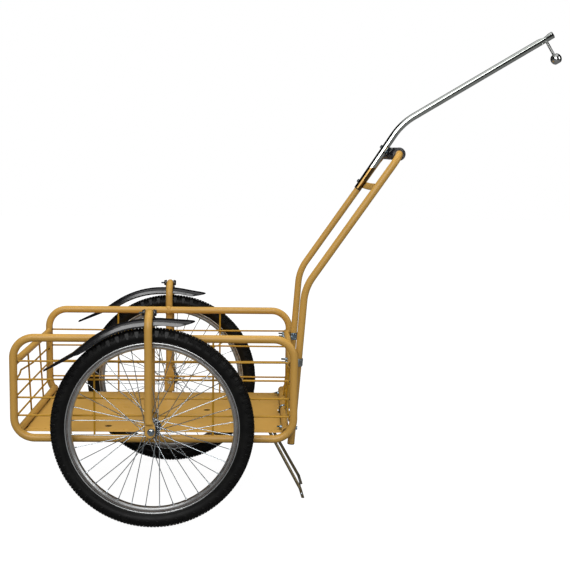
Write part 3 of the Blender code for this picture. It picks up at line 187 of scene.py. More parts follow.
def rectangle(width, height, corner=0.0, steps=3):
    """A rectangle with its corners rounded."""
    points = []
    for turn, (across, up) in enumerate(((1, 1), (-1, 1), (-1, -1), (1, -1))):
        for k in range(steps + 1 if corner else 1):
            angle = math.pi / 2 * (turn + k / steps)
            points.append((across * (width / 2 - corner) + corner * math.cos(angle),
                           up * (height / 2 - corner) + corner * math.sin(angle)))
    return points


def skin(bm, rings, closed=False):
    """Skins rings of equal count. An open run of rings gets flat ends."""
    rows = [[bm.verts.new(point) for point in ring] for ring in rings]
    count = len(rings[0])
    following = rows[1:] + rows[:1] if closed else rows[1:]
    for row, after in zip(rows, following):
        for i in range(count):
            j = (i + 1) % count
            bm.faces.new((row[i], row[j], after[j], after[i]))
    if not closed:
        bm.faces.new(list(reversed(rows[0])))
        bm.faces.new(rows[-1])


def sweep(bm, stations, across, closed=False):
    """Carries outlines along (point, tangent, outline) stations. Their first axis starts along across."""
    rings = []
    for point, along, outline in stations:
        across = (across - along * along.dot(across)).normalized()
        up = along.cross(across)
        rings.append([point + across * a + up * b for a, b in outline])
    skin(bm, rings, closed)


def rounded(corners, radii, steps, closed=False):
    """(point, tangent) pairs along straight runs whose corners are arcs of the given radii."""
    count = len(corners)
    bends = range(count) if closed else range(1, count - 1)
    path = []
    for bend, radius in zip(bends, radii):
        corner = corners[bend]
        before = (corner - corners[bend - 1]).normalized()
        after = (corners[(bend + 1) % count] - corner).normalized()
        angle = before.angle(after)
        inward = (after - before * before.dot(after)).normalized()
        start = corner - before * radius * math.tan(angle / 2)
        for k in range(steps + 1):
            turn = angle * k / steps
            point = start + before * radius * math.sin(turn) + inward * radius * (1 - math.cos(turn))
            if not path or (point - path[-1][0]).length > GAP:
                path.append((point, before * math.cos(turn) + inward * math.sin(turn)))
    if not closed:
        path.insert(0, (corners[0], (corners[1] - corners[0]).normalized()))
        path.append((corners[-1], (corners[-1] - corners[-2]).normalized()))
    return path


def along_path(path, outline):
    return [(point, tangent, outline) for point, tangent in path]


def rod(bm, start, end, outline, across):
    along = (end - start).normalized()
    sweep(bm, [(start, along, outline), (end, along, outline)], across)


def stack(bm, origin, along, across, sections, closed=False):
    """Rings of (distance along the axis, outline) pairs."""
    sweep(bm, [(origin + along * at, along, outline) for at, outline in sections], across, closed)


def lathe(bm, origin, along, across, profile, sides=24, closed=False):
    """Turned rings of (distance along the axis, radius) pairs."""
    stack(bm, origin, along, across, [(at, circle(radius, sides)) for at, radius in profile], closed)


def turned(bm, profile, steps):
    """Turns a closed profile of (radius, sideways) pairs about the sideways axis."""
    rings = []
    for k in range(steps):
        spoke = slope(2 * math.pi * k / steps)
        rings.append([spoke * radius + Y * sideways for radius, sideways in profile])
    skin(bm, rings, closed=True)


def mirrored(half):
    return half + [(radius, -sideways) for radius, sideways in reversed(half)]


def smooth_curve(points, steps):
    """More points through the given ones, on an even curve."""
    found = []
    for i in range(len(points) - 1):
        before = points[max(i - 1, 0)]
        start, end = points[i], points[i + 1]
        after = points[min(i + 2, len(points) - 1)]
        for k in range(steps):
            t = k / steps
            found.append(tuple(
                0.5 * (2 * b + (c - a) * t + (2 * a - 5 * b + 4 * c - d) * t**2
                       + (3 * b - a - 3 * c + d) * t**3)
                for a, b, c, d in zip(before, start, end, after)
            ))
    return found + [points[-1]]


def hex_rings(origin, along, across, across_flats, start, end, sides=24):
    """Rings of a hexagon between two distances, with both its faces chamfered to a circle."""
    across = (across - along * along.dot(across)).normalized()
    up = along.cross(across)
    flat = across_flats / 2
    face = flat * HEX_FACE
    rings = []
    for at, inward, full in ((start, 1, False), (start, 1, True), (end, -1, True), (end, -1, False)):
        ring = []
        for k in range(sides):
            turn = 2 * math.pi * k / sides
            corner = flat / math.cos(turn % (math.pi / 3) - math.pi / 6)
            fall = min((corner - face) * HEX_CHAMFER, (end - start) / 3)
            reach, level = (corner, at + inward * fall) if full else (face, at)
            ring.append(origin + along * level + (across * math.cos(turn) + up * math.sin(turn)) * reach)
        rings.append(ring)
    return rings


def threads(start, end, radius, pitch=THREAD_PITCH, depth=THREAD_DEPTH):
    """(distance, radius) pairs of a threaded stretch, chamfered at its end."""
    count = max(int(abs(end - start) / pitch), 2)
    found = []
    for k in range(count):
        at = start + (end - start) * k / count
        found.append((at, radius))
        found.append((at + (end - start) / count / 2, radius - depth))
    return found + [(end, radius - 2 * depth)]


def blob(bm, centre, size, seed):
    """A small lumpy ball, as a weld leaves."""
    rng = random.Random(seed)
    made = bmesh.ops.create_icosphere(bm, subdivisions=2, radius=1.0)["verts"]
    lean = Vector([rng.uniform(-1, 1) for _ in range(3)])
    for vert in made:
        swell = 1 + BLOB_SWELL * math.sin(BLOB_WAVES * vert.co.dot(lean) + rng.random() * BLOB_SPREAD)
        vert.co = centre + vert.co * size * swell


def shape(name, bm, material, location=HOME):
    """Makes an object of a mesh and sets it down."""
    mesh = bpy.data.meshes.new(name)
    bm.to_mesh(mesh)
    bm.free()
    mesh.materials.append(material)
    made = bpy.data.objects.new(name, mesh)
    made.location = location
    bpy.context.scene.collection.objects.link(made)
    return made


def put(name, bm, material, nodes=(), location=HOME, sharp=SHARP, body="frame"):
    """Makes a piece that rides on its body, in place of the given CAD nodes."""
    bmesh.ops.recalc_face_normals(bm, faces=bm.faces[:])
    made = shape(name, bm, material, location)
    made.data.shade_smooth()
    made.data.set_sharp_from_angle(angle=math.radians(sharp))
    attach(made, body)
    if nodes:
        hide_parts(*nodes)
    return made


# Materials

class Tree:
    """A node tree, with short ways to add to it."""

    def __init__(self, tree):
        self.tree = tree

    def add(self, kind, **settings):
        made = self.tree.nodes.new(kind)
        for key, value in settings.items():
            setattr(made, key, value)
        return made

    def join(self, source, target):
        self.tree.links.new(source, target)

    def ramp(self, source, low, high, start, end):
        """Maps a value from low..high to start..end, held at the ends."""
        made = self.add("ShaderNodeMapRange")
        for key, value in (("From Min", low), ("From Max", high), ("To Min", start), ("To Max", end)):
            made.inputs[key].default_value = value
        self.join(source, made.inputs["Value"])
        return made.outputs["Result"]

    def calculate(self, operation, first, second):
        """Joins two values, each a number or an output, by an operation."""
        made = self.add("ShaderNodeMath", operation=operation)
        for value, socket in zip((first, second), made.inputs):
            if isinstance(value, (int, float)):
                socket.default_value = value
            else:
                self.join(value, socket)
        return made.outputs["Value"]

    def shown_rays(self, share):
        """1 for camera and transmission rays, a share for glossy rays, 0 for those that light the trailer."""
        rays = self.add("ShaderNodeLightPath").outputs
        shown = self.calculate("MULTIPLY", rays["Is Glossy Ray"], share)
        for ray in ("Is Camera Ray", "Is Transmission Ray"):
            shown = self.calculate("MAXIMUM", shown, rays[ray])
        return shown


class Finish(Tree):
    """A material with one shader, whose colour, polish and relief come from noise in object space."""

    def __init__(self, name, roughness, metallic=0.0):
        self.material = bpy.data.materials.new(name)
        self.material.use_nodes = True
        super().__init__(self.material.node_tree)
        self.shader = self.tree.nodes["Principled BSDF"]
        self.shader.inputs["Roughness"].default_value = roughness
        self.shader.inputs["Metallic"].default_value = metallic
        self.place = self.add("ShaderNodeTexCoord").outputs["Object"]

    def noise(self, scale, detail):
        """Noise from 0 to 1."""
        made = self.add("ShaderNodeTexNoise")
        made.inputs["Scale"].default_value = scale
        made.inputs["Detail"].default_value = detail
        self.join(self.place, made.inputs["Vector"])
        return made.outputs["Fac"]

    def mix(self, share, first, second):
        """Mixes two colours, each a tuple or an output."""
        made = self.add("ShaderNodeMix", data_type="RGBA")
        self.join(share, made.inputs["Factor"])
        for name, value in (("A", first), ("B", second)):
            socket = next(s for s in made.inputs if s.name == name and s.type == "RGBA")
            if isinstance(value, tuple):
                socket.default_value = (*value, 1)
            else:
                self.join(value, socket)
        return next(s for s in made.outputs if s.type == "RGBA")

    def clouds(self, scale, detail, share=1):
        """Soft patches, from 0 to a share."""
        return self.ramp(self.noise(scale, detail), 0.35, 0.65, 0, share)

    def colour(self, tone, dark, reach, low, high, share):
        """Joins a colour that turns dark, up to a share, in corners and gaps narrower than the reach: painted
        shade from ambient occlusion.
        """
        open_sky = self.add("ShaderNodeAmbientOcclusion", samples=4)
        open_sky.inputs["Distance"].default_value = reach
        # Painted shade: the colour darkens where ambient occlusion finds corners and gaps.
        painted_shade = self.ramp(open_sky.outputs["AO"], low, high, share, 0.0)
        self.join(self.mix(painted_shade, tone, dark), self.shader.inputs["Base Color"])

    def roughness(self, source, low, high):
        self.join(self.ramp(source, 0.3, 0.7, low, high), self.shader.inputs["Roughness"])

    def bump(self, source, distance, strength):
        made = self.add("ShaderNodeBump")
        made.inputs["Distance"].default_value = distance
        made.inputs["Strength"].default_value = strength
        self.join(source, made.inputs["Height"])
        self.join(made.outputs["Normal"], self.shader.inputs["Normal"])

    def shine(self, level):
        self.shader.inputs["Specular IOR Level"].default_value = level


def grey(level):
    return (level, level, level)


def paint(name, colour, dark, roughness, peel=0.10):
    """Ochre paint: faint clouds and specks, a trace of orange peel, and painted shade where pieces meet."""
    made = Finish(name, roughness)
    pale = tuple(min(1, value * 1.04) for value in colour)
    deep = tuple(value * 0.95 for value in colour)
    tone = made.mix(made.clouds(5, 2), deep, pale)
    specks = made.ramp(made.noise(240, 1), 0.76, 0.80, 0, 2 * peel)
    made.colour(made.mix(specks, tone, dark), dark, reach=0.012, low=0.25, high=0.80, share=0.75)
    made.roughness(made.noise(14, 2), roughness - 0.03, roughness + 0.05)
    made.bump(made.noise(180, 1), 0.0001, peel)
    made.shine(0.32)
    return made.material


def metal(name, colour, dark, roughness, scale=260, corner_shade=0.6):
    """Bare or plated metal: fine grain, uneven polish, and darker corners that are painted shade."""
    made = Finish(name, roughness, 1.0)
    tone = made.mix(made.clouds(40, 4, 0.45), colour, tuple(value * 0.80 for value in colour))
    # The last argument sets how far corners and gaps darken as painted shade.
    made.colour(tone, dark, reach=0.008, low=0.2, high=0.85, share=corner_shade)
    made.roughness(made.noise(scale, 2), roughness * 0.85, roughness * 1.2)
    made.bump(made.noise(scale, 1), 0.00005, 0.15)
    return made.material


def rubber(name, colour, dust, roughness, shine=0.5):
    """Black rubber or plastic, with a trace of dust, and painted shade that turns its grooves near black."""
    made = Finish(name, roughness)
    film = made.ramp(made.noise(34, 5), 0.45, 0.75, 0, 1)
    # Painted shade: grooves and corners darken to near black.
    made.colour(made.mix(film, colour, dust), grey(0.002), reach=0.010, low=0.25, high=0.75, share=1.0)
    made.roughness(made.noise(60, 3), roughness - 0.05, roughness + 0.06)
    made.bump(made.noise(150, 2), 0.0001, 0.15)
    made.shine(shine)
    return made.material


def chrome_with_painted_gold_reflection():
    """Bright chrome with corners darkened as painted shade, and a dark gold painted over the drawbar's lower
    end as a painted reflection of the ochre handle.
    """
    made = Finish("bright_chrome", 0.10, 1.0)
    slant = (DRAWBAR_LOWER + DRAWBAR_REAR * GOLD_LEAN).normalized()
    edge = (DRAWBAR_FOOT + DRAWBAR_LOWER * GOLD_LENGTH).dot(slant)
    along = made.add("ShaderNodeVectorMath", operation="DOT_PRODUCT")
    along.inputs[1].default_value = slant
    made.join(made.place, along.inputs[0])
    above = made.ramp(along.outputs["Value"], edge - GOLD_EDGE, edge + GOLD_EDGE, 0, 1)
    chrome = made.mix(made.clouds(25, 4), (0.68, 0.71, 0.67), (0.60, 0.63, 0.60))
    # Painted reflection: below the slanted edge the chrome takes a dark gold colour that stands in for the
    # ochre handle's reflection.
    tone = made.mix(above, (0.20, 0.12, 0.040), chrome)
    # Painted shade in corners and gaps.
    made.colour(tone, grey(0.03), reach=0.006, low=0.2, high=0.85, share=0.8)
    made.roughness(made.noise(60, 2), 0.09, 0.13)
    return made.material


OCHRE = paint("ochre_paint", (0.480, 0.272, 0.060), (0.060, 0.034, 0.010), 0.32, 0.02)
# The floor sheet's paint is a lighter copy of the ochre paint: painted light on the floor.
OCHRE_SHEET = paint("ochre_sheet", (0.540, 0.310, 0.072), (0.050, 0.030, 0.010), 0.30, 0.01)
OCHRE_WIRE = paint("ochre_wire", (0.420, 0.220, 0.014), (0.040, 0.022, 0.006), 0.34, 0.04)
# Dark weld scale for the wire welds; the same colour is painted shade in the floor's gaps and inside its
# holes.
WELD_SCALE_AND_SHADE = paint("weld_scale_and_shade", (0.026, 0.018, 0.010), (0.010, 0.008, 0.006), 0.50)
TYRE = rubber("tyre_rubber", grey(0.005), (0.009, 0.009, 0.008), 0.42, 0.14)
TREAD = rubber("tread_rubber", grey(0.005), grey(0.009), 0.30, 0.15)
RIM_LINE = rubber("rim_line", (0.050, 0.026, 0.014), (0.080, 0.045, 0.025), 0.45, 0.30)
TUBE = rubber("tube_rubber", (0.020, 0.020, 0.021), grey(0.035), 0.60)
GRIP = rubber("grip_rubber", (0.008, 0.008, 0.009), (0.016, 0.016, 0.018), 0.18, 1.00)
PLASTIC = rubber("gloss_plastic", (0.005, 0.005, 0.006), (0.008, 0.008, 0.009), 0.19, 0.85)
ALLOY = metal("rim_alloy", (0.68, 0.69, 0.69), grey(0.03), 0.34, 120, 0.45)
STEEL = metal("spoke_steel", (0.60, 0.66, 0.70), (0.05, 0.06, 0.07), 0.18)
NUT_STEEL = metal("nut_steel", (0.50, 0.53, 0.54), grey(0.02), 0.15)
HUB_STEEL = metal("hub_steel", (0.17, 0.18, 0.19), grey(0.02), 0.24)
ZINC = metal("blue_zinc", (0.32, 0.42, 0.50), (0.04, 0.06, 0.08), 0.26)
GREY_ZINC = metal("grey_zinc", (0.36, 0.39, 0.38), grey(0.05), 0.36)
YELLOW_ZINC = metal("yellow_zinc", (0.36, 0.29, 0.17), (0.05, 0.04, 0.03), 0.34)
CHROME = chrome_with_painted_gold_reflection()
BALL_CHROME = metal("ball_chrome", (0.64, 0.65, 0.64), grey(0.04), 0.13)


# Side frames, cross tubes and their welds

def frame_path():
    """A side frame's centreline, once round from its lower rear corner."""
    corners = [upright(x, FRAME_BOTTOM) for x in (FRAME_REAR, FRAME_FRONT)]
    corners += [upright(x, FRAME_TOP) for x in (FRAME_FRONT, FRAME_REAR)]
    return rounded(corners, [FRAME_CORNER] * 4, 14, closed=True)


def frame_distance(x, z):
    """How far a point in a side frame's plane is from its tube's centreline."""
    across = abs(x - FRAME_MIDDLE) - FRAME_HALF
    level = abs(z - (FRAME_BOTTOM + FRAME_TOP) / 2) - (FRAME_TOP - FRAME_BOTTOM) / 2
    ahead, above = across + FRAME_CORNER, level + FRAME_CORNER
    if ahead > 0 and above > 0:
        return abs(math.hypot(ahead, above) - FRAME_CORNER)
    return min(abs(across), abs(level))


def side_frames():
    """One bent tube each side."""
    for side, sign in SIDES.items():
        bm = bmesh.new()
        path = [(point + Y * sign * FRAME_Y, along) for point, along in frame_path()]
        sweep(bm, along_path(path, circle(FRAME_TUBE, 32)), Y, closed=True)
        put(f"{side}_side_tube", bm, OCHRE, [f"{side}_side_frame"])


BEAD = 0.0017
BEAD_RIPPLE = 0.0004
BEAD_ROUGHNESS = 0.0002
BEAD_STEPS = 48
BEAD_WAVES = 1.9


def weld_ring(bm, at, sign, seed):
    """The bead round a cross tube's end, on the line where it meets the side frame's tube."""
    rng = random.Random(seed)
    path = []
    for ahead, above in circle(BAR_TUBE, BEAD_STEPS):
        x, z = at.x + ahead, at.z + above
        away = min(frame_distance(x, z), FRAME_TUBE)
        path.append(Vector((x, sign * (FRAME_Y - math.sqrt(FRAME_TUBE**2 - away**2)), z)))
    ripple = rng.uniform(0, 6)
    rings = []
    for k, point in enumerate(path):
        along = (path[(k + 1) % BEAD_STEPS] - path[k - 1]).normalized()
        outward = (point - at - Y * point.y).normalized()
        other = along.cross(outward)
        radius = BEAD + BEAD_RIPPLE * math.sin(k * BEAD_WAVES + ripple)
        radius += rng.uniform(-BEAD_ROUGHNESS, BEAD_ROUGHNESS)
        rings.append([point + outward * a + other * b for a, b in circle(radius, 8)])
    skin(bm, rings, closed=True)


def cross_tubes():
    """The four tubes between the side frames, with the weld beads at their ends."""
    beads = bmesh.new()
    for index, (name, at) in enumerate(BARS.items()):
        bm = bmesh.new()
        reach = Y * (FRAME_Y - FRAME_TUBE / 2)
        rod(bm, at - reach, at + reach, circle(BAR_TUBE), X)
        put(f"{name}_tube", bm, OCHRE, [name])
        for sign in SIDES.values():
            weld_ring(beads, at, sign, 10 * index + sign)
    put("cross_tube_welds", beads, OCHRE, sharp=80)


# Wire mesh

WIRE = 0.0030
WIRE_BEND = 0.008
WIRE_SAG = 0.0012
WIRE_SEAT = FRAME_TUBE * 0.7
WELD_SPOT = Vector((0.0032, 0.0034, 0.0032))
CROSSING_SPOT, TUBE_SPOT, END_SPOT = WELD_SPOT * 0.75, WELD_SPOT * 0.85, WELD_SPOT * 0.8
WELD_INSET = FRAME_TUBE * 0.22
WELD_ASIDE = 0.0016
SIDE_LEVELS = (0.0689, 0.1242, 0.1795, 0.2358)
SIDE_UPRIGHTS = (-0.1801, 0.1782)
END_LEVELS = (0.0570, 0.1187, 0.1730)
END_TOPS = (-0.0950, 0.0915)
END_FEET = (-0.0440, 0.1610)
END_STEP = 0.004
END_WELD = 0.002
END_SEAT = BAR_TUBE * 0.8
KINK = ((-0.205, 0.004), (-0.186, 0.013))
KINK_DROP = 0.006
FRONT_FOOT_BACK, REAR_TOP_AHEAD, REAR_FOOT_DROP = 0.004, 0.004, 0.006
UPRIGHT_STEP = 0.002


def wire(bm, points, radius=WIRE):
    """A wire through its points, a little rounded where it bends."""
    corners = [Vector(point) for point in points]
    path = rounded(corners, [WIRE_BEND] * (len(corners) - 2), 4)
    across = X if abs(path[0][1].x) < 0.7 else Y
    sweep(bm, along_path(path, circle(radius, 12)), across)


def level_reach(z):
    """Half the length of a level wire between the middles of a side frame's ends."""
    past = max(FRAME_BOTTOM + FRAME_CORNER - z, z - FRAME_TOP + FRAME_CORNER, 0.0)
    return FRAME_HALF - FRAME_CORNER + math.sqrt(FRAME_CORNER**2 - past**2)


def side_meshes():
    """Four level wires and two uprights in each side frame, with their welds."""
    for side, sign in SIDES.items():
        bm, spots = bmesh.new(), bmesh.new()
        y = sign * (FRAME_Y - UPRIGHT_STEP)
        for level, rise in enumerate(SIDE_LEVELS):
            z = FRAME_BOTTOM + rise
            reach = level_reach(z) - WIRE_SEAT
            ends = [FRAME_MIDDLE - reach, FRAME_MIDDLE + reach]
            wire(bm, [(ends[0], y, z), (FRAME_MIDDLE, y, z + WIRE_SAG * (-1) ** level), (ends[1], y, z)])
            for end, inward in zip(ends, (1, -1)):
                for face in (-1, 1):
                    spot = Vector((end + inward * WELD_INSET, y + face * WELD_ASIDE, z))
                    blob(spots, spot, WELD_SPOT, 100 * level + face)
            for ahead in SIDE_UPRIGHTS:
                blob(spots, Vector((FRAME_MIDDLE + ahead, sign * FRAME_Y, z)), CROSSING_SPOT, level)
        for ahead in SIDE_UPRIGHTS:
            x, outer_y = FRAME_MIDDLE + ahead, sign * (FRAME_Y + UPRIGHT_STEP)
            wire(bm, [(x, outer_y, FRAME_BOTTOM + WIRE_SEAT), (x, outer_y, FRAME_TOP - WIRE_SEAT)])
            for end in (FRAME_BOTTOM + FRAME_TUBE, FRAME_TOP - FRAME_TUBE):
                blob(spots, Vector((x, outer_y, end)), TUBE_SPOT, 7)
        put(f"{side}_side_wires", bm, OCHRE_WIRE, [f"{side}_side_mesh"])
        put(f"{side}_wire_welds", spots, WELD_SCALE_AND_SHADE, sharp=80)


def end_mesh(name, top, foot, outward, kinked, node):
    """Level wires between the side frames, welded outside two leaning uprights that run from top to foot."""
    bm, spots = bmesh.new(), bmesh.new()
    for level, rise in enumerate(END_LEVELS):
        z = FRAME_BOTTOM + rise
        x = foot.x + (top.x - foot.x) * (z - foot.z) / (top.z - foot.z) + outward * END_STEP
        away = min(frame_distance(x, z), FRAME_TUBE * 0.95)
        reach = FRAME_Y - math.sqrt(FRAME_TUBE**2 - away**2) + END_WELD
        points = [(x, -reach, z), (x, 0, z), (x, reach, z)]
        if kinked and level == len(END_LEVELS) - 1:
            points[:1] = [(x, -reach, z - KINK_DROP)] + [(x, y, z + lift) for y, lift in KINK]
        wire(bm, points)
        for sign in SIDES.values():
            blob(spots, Vector((x, sign * (reach - END_WELD), points[0][2])), WELD_SPOT, level)
    for top_y, foot_y in zip(END_TOPS, END_FEET):
        wire(bm, [foot + Y * foot_y, top + Y * top_y])
        blob(spots, foot + Y * foot_y, END_SPOT, 3)
        blob(spots, top + Y * top_y, END_SPOT, 4)
    put(name, bm, OCHRE_WIRE, [node])
    put(f"{name}_welds", spots, WELD_SCALE_AND_SHADE, sharp=80)


def end_meshes():
    """The rear mesh outside its cross tubes, and the front one behind the handle's legs."""
    top = upright(BARS["rear_top_bar"].x + REAR_TOP_AHEAD, BARS["rear_top_bar"].z - END_SEAT)
    foot = BARS["rear_lower_bar"] - X * (BAR_TUBE + WIRE) - Z * REAR_FOOT_DROP
    end_mesh("rear_wires", top, foot, -1, True, "rear_mesh")
    behind = LEG_REAR * (HANDLE_TUBE + WIRE + GAP) - X * FRONT_FOOT_BACK
    foot_z = BARS["front_lower_bar"].z + END_SEAT
    top_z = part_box("front_mesh")[1].z
    front_foot, front_top = [LEG_LOW + LEG_ALONG * (z - LEG_LOW.z) + behind for z in (foot_z, top_z)]
    end_mesh("front_wires", front_top, front_foot, 1, False, "front_mesh")


# Floor

FLOOR_HOLES = ((-0.1516, -0.2097), (0.1441, 0.0123))
FLOOR_HOLE = 0.011
COLLAR_TOP, COLLAR_FOOT, COLLAR_WALL = 0.0005, 0.008, 0.0012
NOTCH_WIDTH, NOTCH_DEPTH, NOTCH_CORNER = 0.064, 0.012, 0.006
CUT_REACH = 0.01
# A thin dark strip of painted shade lies in the gap between the sheet and a lower tube, wherever there are no
# stitches.
SHADE_STRIP_WIDTH, SHADE_STRIP_THICKNESS, SHADE_STRIP_CORNER = 0.0045, 0.0008, 0.0002
STITCH = Vector((0.0030, 0.0034, 0.0016))
STITCH_PITCH = 0.004
STITCH_INSET = 0.0004
STITCHES = {
    "rear_lower_bar": ((-0.277, -0.2435), (-0.128, 0.098), (0.159, 0.198), (0.230, 0.277)),
    "front_lower_bar": ((-0.277, -0.173), (-0.0665, -0.053), (0.047, 0.090), (0.190, 0.277)),
}


def floor_cuts():
    """What is cut out of the sheet: two round holes and a notch in its front edge."""
    bm = bmesh.new()
    for x, y in FLOOR_HOLES:
        profile = [(-CUT_REACH, FLOOR_HOLE), (CUT_REACH, FLOOR_HOLE)]
        lathe(bm, Vector((x, y, FLOOR_LOW.z)), Z, X, profile, 32)
    back, front = [upright(FLOOR_HIGH.x + ahead, FLOOR_LOW.z) for ahead in (-NOTCH_DEPTH, CUT_REACH)]
    rod(bm, back, front, rectangle(NOTCH_WIDTH, 2 * CUT_REACH, NOTCH_CORNER), Y)
    bmesh.ops.recalc_face_normals(bm, faces=bm.faces[:])
    return shape("floor_cuts", bm, OCHRE_SHEET)


def floor_sheet():
    """The sheet, rounded at its sides."""
    thickness = FLOOR_HIGH.z - FLOOR_LOW.z
    middle_z = (FLOOR_LOW.z + FLOOR_HIGH.z) / 2
    outline = rectangle(FLOOR_HIGH.y - FLOOR_LOW.y, thickness, thickness * 0.45)
    bm = bmesh.new()
    rod(bm, upright(FLOOR_LOW.x, middle_z), upright(FLOOR_HIGH.x, middle_z), outline, Y)
    sheet = put("floor_sheet", bm, OCHRE_SHEET, ["floor_pan"])
    cutter = floor_cuts()
    modifier = sheet.modifiers.new("holes", "BOOLEAN")
    modifier.object = cutter
    modifier.solver = "EXACT"
    bpy.context.view_layer.update()
    shaped = sheet.evaluated_get(bpy.context.evaluated_depsgraph_get())
    cut_mesh = bpy.data.meshes.new_from_object(shaped)
    sheet.modifiers.clear()
    sheet.data = cut_mesh
    sheet.data.set_sharp_from_angle(angle=math.radians(SHARP))
    bpy.data.objects.remove(cutter)


def floor_collars():
    """A short collar under the rim of each hole, dark as painted shade inside the hole."""
    outer = FLOOR_HOLE + COLLAR_WALL
    profile = [(COLLAR_TOP, FLOOR_HOLE), (COLLAR_FOOT, FLOOR_HOLE), (COLLAR_FOOT, outer), (COLLAR_TOP, outer)]
    bm = bmesh.new()
    for x, y in FLOOR_HOLES:
        lathe(bm, Vector((x, y, FLOOR_HIGH.z)), -Z, X, profile, 32, closed=True)
    put("floor_hole_collars", bm, WELD_SCALE_AND_SHADE, sharp=40)


def floor_welds():
    """The stitches that weld the sheet to the lower tubes, and dark strips of painted shade where there are
    none.
    """
    shade_strips, beads = bmesh.new(), bmesh.new()
    for name, runs in STITCHES.items():
        bar = BARS[name]
        inward = 1 if "rear" in name else -1
        edge = bar.x + inward * math.sqrt(BAR_TUBE**2 - (bar.z - FLOOR_HIGH.z) ** 2)
        at = upright(edge + inward * SHADE_STRIP_WIDTH / 2, FLOOR_HIGH.z + GAP)
        for (_, start), (end, _) in zip(runs, runs[1:]):
            outline = rectangle(SHADE_STRIP_WIDTH, SHADE_STRIP_THICKNESS, SHADE_STRIP_CORNER)
            rod(shade_strips, at + Y * start, at + Y * end, outline, X)
        for start, end in runs:
            lumps = max(int((end - start) / STITCH_PITCH), 2)
            for k, y in enumerate(evenly(start, end, lumps)):
                if abs(y) < FRAME_Y - FRAME_TUBE - STITCH_PITCH:
                    blob(beads, Vector((edge + inward * STITCH_INSET, y, FLOOR_HIGH.z)), STITCH, k)
    put("floor_shade_strips", shade_strips, WELD_SCALE_AND_SHADE, sharp=40)
    put("floor_stitches", beads, OCHRE, sharp=80)


# Wheel hoops. A plate is its middle sideways, width, thickness, foot and the top of its flat part.

HOOP_TUBE = 0.01175
HOOP_SIDES = 32
HOOP_HALF = 0.0455
HOOP_X = -0.0035
HOOP_RISE = 0.3465
INNER_PLATE = (-HOOP_HALF - HOOP_TUBE + 0.00225, 0.035, 0.0045, -0.0415, 0.0420)
OUTER_PLATE = (HOOP_HALF, 0.031, 0.009, -0.0185, 0.0265)
FOOT_RADIUS = 0.0135
FOOT_START = math.radians(12)
SHOULDER = 0.008
CRESCENT = 0.018
FLARE, FLARE_BELOW = 0.034, 0.55
SETBACKS = {"right": 0.0048, "left": 0.0010}
HOOP_BEAD_SHARE = 0.75
HOOP_BEAD = Vector((0.0035, 0.0045, 0.0030))
HOOP_BEAD_PITCH = 0.0035
HOOP_LUMP = Vector((0.0125, 0.0125, 0.0150))
HOOP_LUMP_INSET = 0.002


def hoop_leg(plate, half, setback):
    """Rings of one leg from its rounded foot up: a flat plate that narrows and opens into the round tube."""
    centre, width, thickness, foot, flat_top = plate
    rows = []
    for turn in evenly(FOOT_START, math.pi / 2, 5):
        rows.append((foot + FOOT_RADIUS * (1 - math.cos(turn)), 2 * FOOT_RADIUS * (1 - math.sin(turn))))
    start = flat_top - FLARE * FLARE_BELOW
    rows += [(z, 0.0) for z in evenly(start, flat_top + SHOULDER + CRESCENT / 2, 24)]
    rings = []
    for z, narrow in rows:
        slim = eased((z - start) / FLARE)
        spread = max((width - narrow - thickness) / 2, 0.0)
        ring = []
        for across, up in circle(1, HOOP_SIDES):
            share = eased((z - flat_top - CRESCENT * (0.5 - abs(up))) / SHOULDER)
            aside = math.copysign(spread, across) if abs(across) > 1e-6 else 0.0
            flat_x, flat_y = across * thickness / 2 + aside, centre + up * thickness / 2
            round_x, round_y = across * HOOP_TUBE - setback, half + up * HOOP_TUBE
            ring.append((flat_x + (round_x - flat_x) * slim, flat_y + (round_y - flat_y) * share, z))
        rings.append(ring)
    return rings


def wheel_hoop(side, sign, centre):
    """The tube over a wheel, pressed flat at both feet, and its welds to the side frame."""
    setback = SETBACKS[side]
    tube_x = HOOP_X - setback

    def placed(rows):
        return [[Vector((HOOP_X + x, sign * y, z)) for x, y, z in row] for row in rows]

    rings = placed(hoop_leg(INNER_PLATE, -HOOP_HALF, setback))
    for turn in evenly(0, math.pi, 28):
        across, up = -sign * math.cos(turn), math.sin(turn)
        point = Vector((tube_x, HOOP_HALF * across, HOOP_RISE - HOOP_HALF + HOOP_HALF * up))
        inward = Vector((0, -across, -up))
        rings.append([point + X * a + inward * b for a, b in circle(HOOP_TUBE, HOOP_SIDES)])
    outer = reversed(hoop_leg(OUTER_PLATE, HOOP_HALF, setback))
    rings += placed([ring[-k] for k in range(HOOP_SIDES)] for ring in outer)
    bm = bmesh.new()
    skin(bm, rings)
    put(f"{side}_hoop_tube", bm, OCHRE, [f"{side}_wheel_hoop"], HOME + centre, 50)

    beads = bmesh.new()
    touch = sign * (FRAME_Y + FRAME_TUBE)
    for z in (FRAME_TOP, FRAME_BOTTOM):
        for face in (-1, 1):
            for k in range(5):
                x = tube_x + face * HOOP_TUBE * HOOP_BEAD_SHARE
                blob(beads, Vector((x, touch, z + (k - 2) * HOOP_BEAD_PITCH)), HOOP_BEAD, k)
    blob(beads, Vector((tube_x, sign * (FRAME_Y - HOOP_LUMP_INSET), FRAME_TOP)), HOOP_LUMP, 5)
    put(f"{side}_hoop_welds", beads, OCHRE, sharp=80)


# Mudguards. The crest's points are given by how far they are ahead of the hoop's top and above it. Those
# ahead of GUARD_FRONT stay where they are when the hoop is set back.

